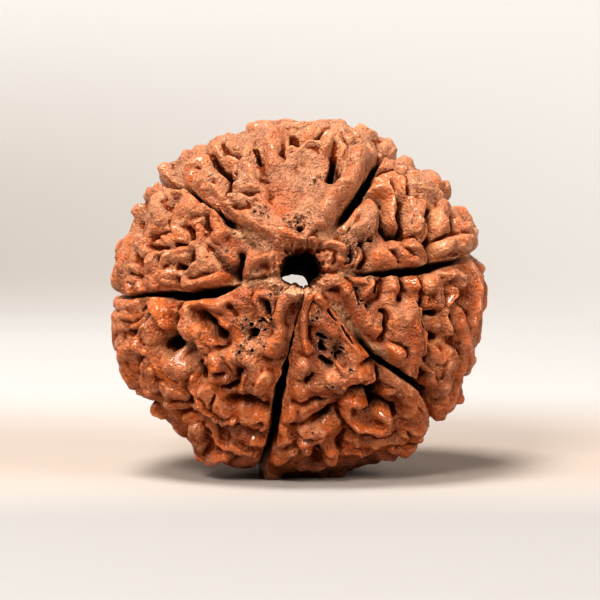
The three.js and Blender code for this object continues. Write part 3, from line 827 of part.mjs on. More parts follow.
// The bore joins the back mouth to the front mouth, column by column.
const columns = rows[0].length;
for (let row = 1; row <= BORE_ROWS; row++) {
  const forward = 0.5 - 0.5 * Math.cos((Math.PI * row) / (BORE_ROWS + 1));
  rows.push(rows[0].map((front, column) => {
    const back = rows[polars.length - 1][column].clone().applyMatrix4(toBody);
    const y = lerp(back.y, front.clone().applyMatrix4(toBody).y, forward);
    const turn = degToRad(lerp(turnsOfRow.at(-1)[column], turnsOfRow[0][column], forward));
    const radius = BORE_RADIUS + 0.06 * swell(at(column, y, row), 5, 7);
    const place = at(BORE_RIGHT + radius * Math.cos(turn), y, BORE_UP + radius * Math.sin(turn));
    return place.applyMatrix4(fromBody);
  }));
}

// Each four-sided cell is cut along the diagonal whose middle lies nearer the true surface.
const positions = rows.flat().flatMap(({ x, y, z }) => [x, y, z]);
const faces = [];
for (const row of rows.keys()) {
  const nextRow = (row + 1) % rows.length;
  for (let column = 0; column < columns; column++) {
    const nextColumn = (column + 1) % columns;
    const [a, b] = [row * columns + column, row * columns + nextColumn];
    const [c, d] = [nextRow * columns + nextColumn, nextRow * columns + column];
    let alongAC = true;
    if (row < polars.length - 1) {
      const wrapped = turnsOfRow[row][nextColumn] + (nextColumn === 0 ? 360 : 0);
      const wrappedBelow = turnsOfRow[nextRow][nextColumn] + (nextColumn === 0 ? 360 : 0);
      const turn = (turnsOfRow[row][column] + wrapped + turnsOfRow[nextRow][column] + wrappedBelow) / 4;
      const middle = surface((polars[row] + polars[nextRow]) / 2, turn);
      const middleAC = rows[row][column].clone().lerp(rows[nextRow][nextColumn], 0.5);
      const middleBD = rows[row][nextColumn].clone().lerp(rows[nextRow][column], 0.5);
      alongAC = middle.distanceTo(middleAC) < middle.distanceTo(middleBD);
    }
    faces.push(...(alongAC ? [a, c, b, a, d, c] : [a, d, b, b, d, c]));
  }
}

const geometry = new THREE.BufferGeometry();
geometry.setAttribute("position", new THREE.Float32BufferAttribute(positions, 3));
geometry.setIndex(faces);
geometry.computeVertexNormals();

const wood = new THREE.MeshStandardMaterial({ name: "seed_wood", color: 0xa8613a, roughness: 0.5 });
const seed = new THREE.Mesh(geometry, wood);
seed.name = "seed";

const part = new THREE.Group();
part.name = "rudraksha_seed";
part.add(seed);

export default part;
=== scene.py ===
"""Rudraksha seed: the woody stone of one fruit, with six clefts, wrinkled lobes and a natural bore.

The seed's form is worked out in millimetres in its own body frame, as in the part's source, and then
placed in metres. +Z is up, and the front mouth of the bore faces -Y.
"""

import math

import bmesh
import bpy
import numpy as np
from mathutils import Matrix, Vector


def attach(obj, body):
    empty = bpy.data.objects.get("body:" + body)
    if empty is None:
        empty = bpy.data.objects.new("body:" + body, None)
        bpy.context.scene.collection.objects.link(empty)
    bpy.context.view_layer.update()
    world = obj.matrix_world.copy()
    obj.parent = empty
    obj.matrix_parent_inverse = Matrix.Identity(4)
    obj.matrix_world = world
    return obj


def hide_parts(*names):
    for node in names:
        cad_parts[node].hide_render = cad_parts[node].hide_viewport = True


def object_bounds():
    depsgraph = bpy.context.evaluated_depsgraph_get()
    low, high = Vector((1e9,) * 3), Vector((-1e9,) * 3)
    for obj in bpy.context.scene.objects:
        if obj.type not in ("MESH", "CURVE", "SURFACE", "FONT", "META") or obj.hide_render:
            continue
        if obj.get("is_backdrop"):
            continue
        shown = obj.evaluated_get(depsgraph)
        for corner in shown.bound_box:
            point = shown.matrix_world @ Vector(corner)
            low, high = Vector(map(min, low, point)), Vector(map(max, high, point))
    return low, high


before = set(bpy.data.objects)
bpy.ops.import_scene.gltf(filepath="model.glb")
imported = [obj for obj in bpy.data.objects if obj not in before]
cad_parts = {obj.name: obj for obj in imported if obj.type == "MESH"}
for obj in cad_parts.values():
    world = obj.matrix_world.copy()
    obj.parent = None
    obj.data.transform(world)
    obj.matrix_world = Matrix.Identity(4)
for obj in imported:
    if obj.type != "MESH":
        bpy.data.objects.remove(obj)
cad_low, cad_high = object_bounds()

# Camera.
# A long lens in front of the seed and a little above it, level from side to side. The seed's centre
# lies two pixels above the middle of the picture, at sixteen pixels to the millimetre.
MM = 0.001
PIXELS_PER_MM = 16
PICTURE_PIXELS = 600
CENTRE_ABOVE_MIDDLE = 2 / PIXELS_PER_MM
BODY_CENTRE = np.array([0.018, 0.138, 11])
EYE_DISTANCE = 300
EYE_DROP = math.radians(6)
look_way = np.array([0, math.cos(EYE_DROP), -math.sin(EYE_DROP)])
chart_up = np.array([0, math.sin(EYE_DROP), math.cos(EYE_DROP)])
eye = BODY_CENTRE - EYE_DISTANCE * look_way

lens = bpy.data.cameras.new("camera")
lens.sensor_width = 36
lens.lens = lens.sensor_width * EYE_DISTANCE * PIXELS_PER_MM / PICTURE_PIXELS
lens.clip_start = 0.01
camera = bpy.data.objects.new("camera", lens)
camera.location = (eye - CENTRE_ABOVE_MIDDLE * chart_up) * MM
camera.rotation_euler = (math.pi / 2 - EYE_DROP, 0, 0)
bpy.context.scene.collection.objects.link(camera)
bpy.context.scene.camera = camera

# Floor.
# A plain pale sheet that lies flat under the seed and sweeps up behind it, with a matt face.
FLOOR_HALF_WIDTH = 0.6
FLOOR_FRONT = -0.45
SWEEP_START = 0.075
SWEEP_RADIUS = 0.09
SWEEP_STEPS = 24
WALL_HEIGHT = 0.5
sweep = bmesh.new()
front_edge = bmesh.ops.create_vert(sweep, co=(-FLOOR_HALF_WIDTH, FLOOR_FRONT, 0))["vert"]
profile = front_edge + bmesh.ops.create_vert(sweep, co=(-FLOOR_HALF_WIDTH, SWEEP_START, 0))["vert"]
sweep.edges.new(profile)
bmesh.ops.spin(
    sweep,
    geom=[profile[1]],
    cent=(-FLOOR_HALF_WIDTH, SWEEP_START, SWEEP_RADIUS),
    axis=(1, 0, 0),
    angle=math.pi / 2,
    steps=SWEEP_STEPS,
)
top = max(sweep.verts, key=lambda vert: vert.co.z)
wall_top = bmesh.ops.create_vert(sweep, co=top.co + Vector((0, 0, WALL_HEIGHT)))["vert"][0]
sweep.edges.new((top, wall_top))
spread = bmesh.ops.extrude_edge_only(sweep, edges=sweep.edges[:])["geom"]
far_side = [part for part in spread if isinstance(part, bmesh.types.BMVert)]
bmesh.ops.translate(sweep, verts=far_side, vec=(2 * FLOOR_HALF_WIDTH, 0, 0))
bmesh.ops.recalc_face_normals(sweep, faces=sweep.faces)
if max(sweep.faces, key=lambda face: face.calc_area()).normal.z < 0:
    bmesh.ops.reverse_faces(sweep, faces=sweep.faces)
for face in sweep.faces:
    face.smooth = True
floor_mesh = bpy.data.meshes.new("floor")
sweep.to_mesh(floor_mesh)
sweep.free()
floor = bpy.data.objects.new("floor", floor_mesh)
bpy.context.scene.collection.objects.link(floor)

floor_paint = bpy.data.materials.new("floor_paint")
floor_paint.use_nodes = True
tree = floor_paint.node_tree
floor_shader = tree.nodes["Principled BSDF"]
floor_shader.inputs["Roughness"].default_value = 0.9
floor_shader.inputs["Specular IOR Level"].default_value = 0.15


def node(kind, settings=None, **sockets):
    """A node in the tree at hand, its settings made and its sockets filled with values or outputs."""
    made = tree.nodes.new(kind)
    for name, value in (settings or {}).items():
        setattr(made, name, value)
    for name, value in sockets.items():
        socket = made.inputs[int(name[1:])] if name[0] == "_" else made.inputs[name.replace("_", " ")]
        if isinstance(value, bpy.types.NodeSocket):
            tree.links.new(value, socket)
        else:
            socket.default_value = value
    return made


def times(product, *others):
    for other in others:
        product = node("ShaderNodeMath", {"operation": "MULTIPLY"}, _0=product, _1=other).outputs[0]
    return product


def ramp(value, low, high):
    """0 below low and 1 above high, with an eased step between. It falls where low is the higher one."""
    eased = {"interpolation_type": "SMOOTHSTEP"}
    return node("ShaderNodeMapRange", eased, Value=value, From_Min=low, From_Max=high).outputs["Result"]


def tinted(under, over, share):
    return node("ShaderNodeMix", {"data_type": "RGBA"}, _0=share, _6=under, _7=over).outputs[2]


# The paint holds painted shade: beige low on the wall's left, a warm painted shadow in a band under the
# seed, and greyer in front.
PALE = (0.345, 0.336, 0.326, 1)
WALL_FOOT_SHADE = (0.232, 0.214, 0.196, 1)
PAINTED_SHADOW = (0.315, 0.262, 0.226, 1)
FRONT_SHADE = (0.252, 0.241, 0.23, 1)
spot = node("ShaderNodeSeparateXYZ", Vector=node("ShaderNodeTexCoord").outputs["Object"]).outputs
# Painted shade: a darker beige low on the wall's left.
wall_foot_shade = times(ramp(spot["Y"], 0.072, 0.1), ramp(spot["Z"], 0.03, 0.004))
paint = tinted(PALE, WALL_FOOT_SHADE, times(wall_foot_shade, ramp(spot["X"], 0.07, -0.05)))
# Painted shadow: a warm, darker band on the floor under the seed.
painted_shadow_band = times(ramp(spot["Y"], -0.03, 0.004), ramp(spot["Y"], 0.045, 0.012))
paint = tinted(paint, PAINTED_SHADOW, painted_shadow_band)
# Painted shade: the floor in front of the seed is painted greyer.
paint = tinted(paint, FRONT_SHADE, ramp(spot["Y"], 0.0, -0.02))
tree.links.new(paint, floor_shader.inputs["Base Color"])

# The sheet is clear from its back, so that the seed can be seen from behind it too.
from_back = node("ShaderNodeNewGeometry").outputs["Backfacing"]
clear = node("ShaderNodeBsdfTransparent").outputs[0]
either_side = node("ShaderNodeMixShader", _0=from_back, _1=floor_shader.outputs[0], _2=clear)
tree.links.new(either_side.outputs[0], tree.nodes["Material Output"].inputs["Surface"])
floor_mesh.materials.append(floor_paint)
floor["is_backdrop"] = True

# Light.
# A strong soft lamp overhead, a second one in front, which shines into the hollows, and a weaker one on
# either side. The room round them is dim and warm, but the camera sees it pale past the floor's edges.
room = bpy.data.worlds.new("room")
room.use_nodes = True
tree = room.node_tree
dim_room = tree.nodes["Background"]
dim_room.inputs["Color"].default_value = (1, 0.73, 0.54, 1)
dim_room.inputs["Strength"].default_value = 0.095
pale_room = node("ShaderNodeBackground", Color=(0.62, 0.57, 0.51, 1))
by_camera = node("ShaderNodeLightPath").outputs["Is Camera Ray"]
seen_room = node("ShaderNodeMixShader", _0=by_camera, _1=dim_room.outputs[0], _2=pale_room.outputs[0])
tree.links.new(seen_room.outputs[0], tree.nodes["World Output"].inputs["Surface"])
bpy.context.scene.world = room

LAMPS_AIM = Vector((0, 0, 0.01))
for name, stand, width, power, tint in (
    ("top_softbox", (-0.08, -0.07, 0.36), 0.12, 2.2, (1, 0.985, 0.96)),
    ("front_softbox", (-0.12, -0.28, 0.26), 0.12, 1.52, (1, 0.985, 0.96)),
    ("left_softbox", (-0.3, -0.12, 0.16), 0.12, 0.25, (1, 0.98, 0.95)),
    ("right_softbox", (0.28, -0.18, 0.16), 0.16, 0.9, (1, 0.97, 0.94)),
):
    softbox = bpy.data.lights.new(name, "AREA")
    softbox.size = width
    softbox.energy = power
    softbox.color = tint
    lamp = bpy.data.objects.new(name, softbox)
    lamp.location = stand
    lamp.rotation_euler = (LAMPS_AIM - lamp.location).to_track_quat("-Z", "Y").to_euler()
    bpy.context.scene.collection.objects.link(lamp)
bpy.context.scene.view_settings.view_transform = "Standard"
bpy.context.scene.view_settings.look = "Medium High Contrast"

# Seed.
# The whole object: a woody stone grown in one piece. Its body is a thick ellipsoid with a bore along
# the short axis, six clefts cut it into lobes, and ridges, plates and pits cover the lobes.
HALF_SIZES = np.array([11.85, 9, 11.45])
LEAN = 10.7
TURN = 1.7
BORE_MIDDLE = np.array([-0.18, 0, 1.1])

body_turn = Matrix.Rotation(math.radians(TURN), 3, "Z") @ Matrix.Rotation(-math.radians(LEAN), 3, "X")
from_body = np.array(body_turn).T
eye_in_body = (eye - BODY_CENTRE) @ from_body.T


def reach(start, way, near_side):
    """How far along each ray the smooth body's surface is, or the ray's nearest pass where it misses."""
    s = start / HALF_SIZES
    w = way / HALF_SIZES
    a = (w * w).sum(-1)
    b = (s * w).sum(-1)
    root = np.sqrt(np.maximum(0, b * b - a * ((s * s).sum(-1) - 1)))
    return (-b - root if near_side else root - b) / a


def on_body(polar, turn):
    """Places on the body, by polar angle from the front end of the bore and turn round the bore."""
    polar, turn = np.radians(polar), np.radians(turn)
    way = np.stack([np.sin(polar) * np.cos(turn), -np.cos(polar), np.sin(polar) * np.sin(turn)], axis=-1)
    return BORE_MIDDLE + way * reach(BORE_MIDDLE, way, False)[..., None]


def polar_of(points):
    way = points - BORE_MIDDLE
    return np.degrees(np.arccos(-way[..., 1] / np.linalg.norm(way, axis=-1)))


def turn_of(points):
    """The turn round the bore in degrees, from -20 to 340, so that no cleft crosses its start."""
    turn = np.degrees(np.arctan2(points[..., 2] - BORE_MIDDLE[2], points[..., 0] - BORE_MIDDLE[0]))
    return np.where(turn < -20, turn + 360, turn)


def from_bore(points):
    return np.hypot(points[..., 0] - BORE_MIDDLE[0], points[..., 2] - BORE_MIDDLE[2])


def outward_of(points):
    normals = points / HALF_SIZES**2
    return normals / np.linalg.norm(normals, axis=-1, keepdims=True)


def facing(points):
    """How squarely the body faces the camera, 1 where it does and 0 at the seed's outline."""
    to_eye = eye_in_body - points
    return (outward_of(points) * to_eye).sum(-1) / np.linalg.norm(to_eye, axis=-1)


INSIDE_OUTLINE = 0.995


def from_chart(chart):
    """Points of the front chart, u to the right and v up as the camera sees the seed, on the body."""
    chart = np.array(chart, float).reshape(-1, 2)
    out = np.hypot(chart[:, 0] / HALF_SIZES[0], chart[:, 1] / HALF_SIZES[2])
    chart = chart * np.minimum(1, INSIDE_OUTLINE / out)[:, None]
    aim = chart[:, :1] * np.array([1, 0, 0]) + chart[:, 1:] * chart_up
    way = aim @ from_body.T - eye_in_body
    way /= np.linalg.norm(way, axis=-1, keepdims=True)
    return eye_in_body + way * reach(eye_in_body, way, True)[:, None]


# The clefts, turning from the right-hand one, are drawn from the bore outwards. Each station holds its
# place on the chart, the slot's half width and depth, and the depth of the soft valley it lies in.
# Over the back a cleft goes on by how far it strays from a straight course, which comes first.
STRAY_POLARS = [107, 125, 150, 172]
STRAY_SLOTS = [[0.36, 2.8, 0.3], [0.34, 2.8, 0.3], [0.28, 2.2, 0.3], [0.17, 1.1, 0.1]]


def cleft_along(strays, *stations):
    line = from_chart([station[:2] for station in stations])
    turns = list(turn_of(line))
    return {
        "polars": list(polar_of(line)) + STRAY_POLARS,
        "turns": turns + [turns[-1] + stray for stray in strays],
        "slots": np.array([station[2:] for station in stations] + STRAY_SLOTS),
    }


clefts = [
    cleft_along(
        [6, 2, -2, 3],
        [1.4, 1.8, 0.2, 0.8, 0.1], [2.4, 1.75, 0.3, 0.8, 0.3], [3.4, 1.7, 0.4, 1.0, 0.4],
        [4.4, 1.7, 0.2, 1.5, 0.4], [5.0, 1.7, 0.2, 2.4, 0.3], [6.0, 1.7, 0.26, 3.0, 0.25],
        [7.0, 1.8, 0.34, 3.2, 0.25], [8.0, 1.9, 0.36, 3.2, 0.3], [9.0, 2.15, 0.36, 3.2, 0.3],
        [10.0, 2.4, 0.28, 3.0, 0.3], [11.3, 2.72, 0.16, 2.2, 0.3],
    ),
    cleft_along(
        [-8, -5, 1, 3],
        [1.0, 3.0, 0.2, 0.7, 0.1], [1.7, 4.0, 0.4, 0.6, 0.5], [2.4, 4.9, 0.45, 0.9, 0.6],
        [3.0, 5.6, 0.42, 1.5, 0.6], [3.7, 6.5, 0.36, 2.5, 0.5], [4.3, 7.4, 0.34, 3.0, 0.4],
        [4.75, 8.2, 0.3, 3.0, 0.4], [5.15, 9.0, 0.22, 2.4, 0.3], [5.6, 9.6, 0.18, 2.0, 0.3],
    ),
    cleft_along(
        [8, 5, -1, -3],
        [-1.0, 2.8, 0.2, 0.5, 0.1], [-1.9, 3.6, 0.3, 0.6, 0.4], [-2.7, 4.1, 0.4, 0.8, 0.5],
        [-3.5, 4.5, 0.42, 0.8, 0.5], [-4.3, 4.9, 0.36, 1.1, 0.6], [-4.95, 5.3, 0.3, 1.7, 0.5],
        [-5.4, 5.85, 0.23, 2.2, 0.4], [-6.1, 6.25, 0.17, 2.2, 0.3], [-6.8, 6.75, 0.16, 2.2, 0.3],
        [-7.5, 7.4, 0.17, 2.0, 0.3],
    ),
    cleft_along(
        [-6, -2, 2, -3],
        [-1.25, 1.6, 0.17, 0.7, 0], [-2.6, 1.35, 0.2, 0.75, 0.1], [-3.8, 1.25, 0.25, 0.9, 0.3],
        [-4.6, 0.75, 0.3, 1.8, 0.4], [-5.5, 0.45, 0.38, 2.8, 0.3], [-6.5, 0.3, 0.4, 3.2, 0.3],
        [-7.5, 0.12, 0.36, 3.2, 0.3], [-8.5, 0.22, 0.36, 3.2, 0.3], [-9.4, 0.3, 0.24, 2.8, 0.3],
        [-10.3, 0.3, 0.2, 2.2, 0.3], [-11.4, 0.05, 0.17, 1.8, 0.3],
    ),
    cleft_along(
        [-5, -2, 3, 0],
        [0.3, 0.4, 0.12, 0.5, 0.2], [-0.1, -0.9, 0.1, 0.6, 0.35], [-0.35, -2.0, 0.1, 0.9, 0.4],
        [-0.6, -3.0, 0.12, 1.3, 0.45], [-0.8, -4.0, 0.14, 2.0, 0.4], [-1.0, -5.0, 0.22, 2.8, 0.4],
        [-1.35, -6.3, 0.36, 3.3, 0.4], [-1.6, -7.5, 0.36, 3.3, 0.3], [-1.75, -9, 0.32, 3.2, 0.3],
        [-2.3, -10.6, 0.28, 2.8, 0.3],
    ),
    cleft_along(
        [7, 3, -3, 1],
        [1.1, 0.8, 0.17, 0.5, 0.1], [2.0, -0.4, 0.3, 0.6, 0.3], [2.8, -1.2, 0.45, 0.75, 0.5],
        [3.6, -2.1, 0.45, 0.9, 0.6], [4.4, -3.1, 0.32, 1.5, 0.5], [5.0, -4.0, 0.24, 2.4, 0.3],
        [6.5, -4.9, 0.24, 2.8, 0.3], [7.9, -5.9, 0.32, 3.0, 0.3], [8.4, -6.9, 0.3, 2.8, 0.3],
        [8.3, -8.0, 0.3, 2.6, 0.3],
    ),
]


def cleft_turn(cleft, polar):
    return np.interp(polar, cleft["polars"], cleft["turns"])


def cleft_size(cleft, polar, which):
    """A cleft's half width (0), depth (1) or valley (2) at a polar angle."""
    return np.interp(polar, cleft["polars"], cleft["slots"][:, which])


def broad(size, rise, *chart):
    return {"line": from_chart(chart), "size": size, "rise": rise}


# Broad soft swells and hollows under the relief: a reach, a height, and a line of u and v on the chart.
broad_forms = [
    broad(1.7, -0.5, 0.3, 9.0, 0.1, 7.2, -0.1, 5.6), broad(0.8, 0.25, -4.6, 6.2, -2.6, 4.8, -0.6, 4.2),
    broad(0.8, 0.3, 4.0, 9.3, 3.1, 7.6, 2.1, 6.2, 1.2, 5.1), broad(0.8, 0.25, 4.6, 5.9, 4.2, 4.6),
    broad(0.9, -0.35, -4.6, 3.4, -3.2, 3.6), broad(1.3, -0.3, 8.4, 8.0, 9.2, 7.0),
    broad(1.3, -0.55, 5.4, 10.1, 6.6, 9.4), broad(1.2, 0.5, -6.3, 9.5, -5.0, 10.2),
    broad(0.9, 0.45, -9.2, 7.2, -8.7, 7.7), broad(1.2, -0.55, -10.6, 5.2, -9.9, 6.2),
    broad(1.3, 0.3, -11.7, 1.6, -11.8, 0.2), broad(1.4, 0.4, -11.1, -3.7, -10.2, -5.9),
    broad(1.6, 0.5, 7.0, -9.4, 9.3, -7.2), broad(1.2, 0.35, -4.8, -10.3, -3.0, -10.9),
]

# How steeply strokes end: round ones as a shoulder, flat ones nearly as a step.
ROUND = 4
FLAT = 8


def stroke(line, half, level, edge, raised):
    return {"line": np.array(line), "half": half, "level": level, "edge": edge, "raised": raised}


def ridge(half, level, *chart):
    return stroke(from_chart(chart), half, level, ROUND, True)


def plate(half, level, *chart):
    return stroke(from_chart(chart), half, level, FLAT, True)


def pit(half, depth, *chart):
    return stroke(from_chart(chart), half, -depth, ROUND, False)


def furrow(half, depth, *chart):
    return stroke(from_chart(chart), half, -depth, FLAT, False)


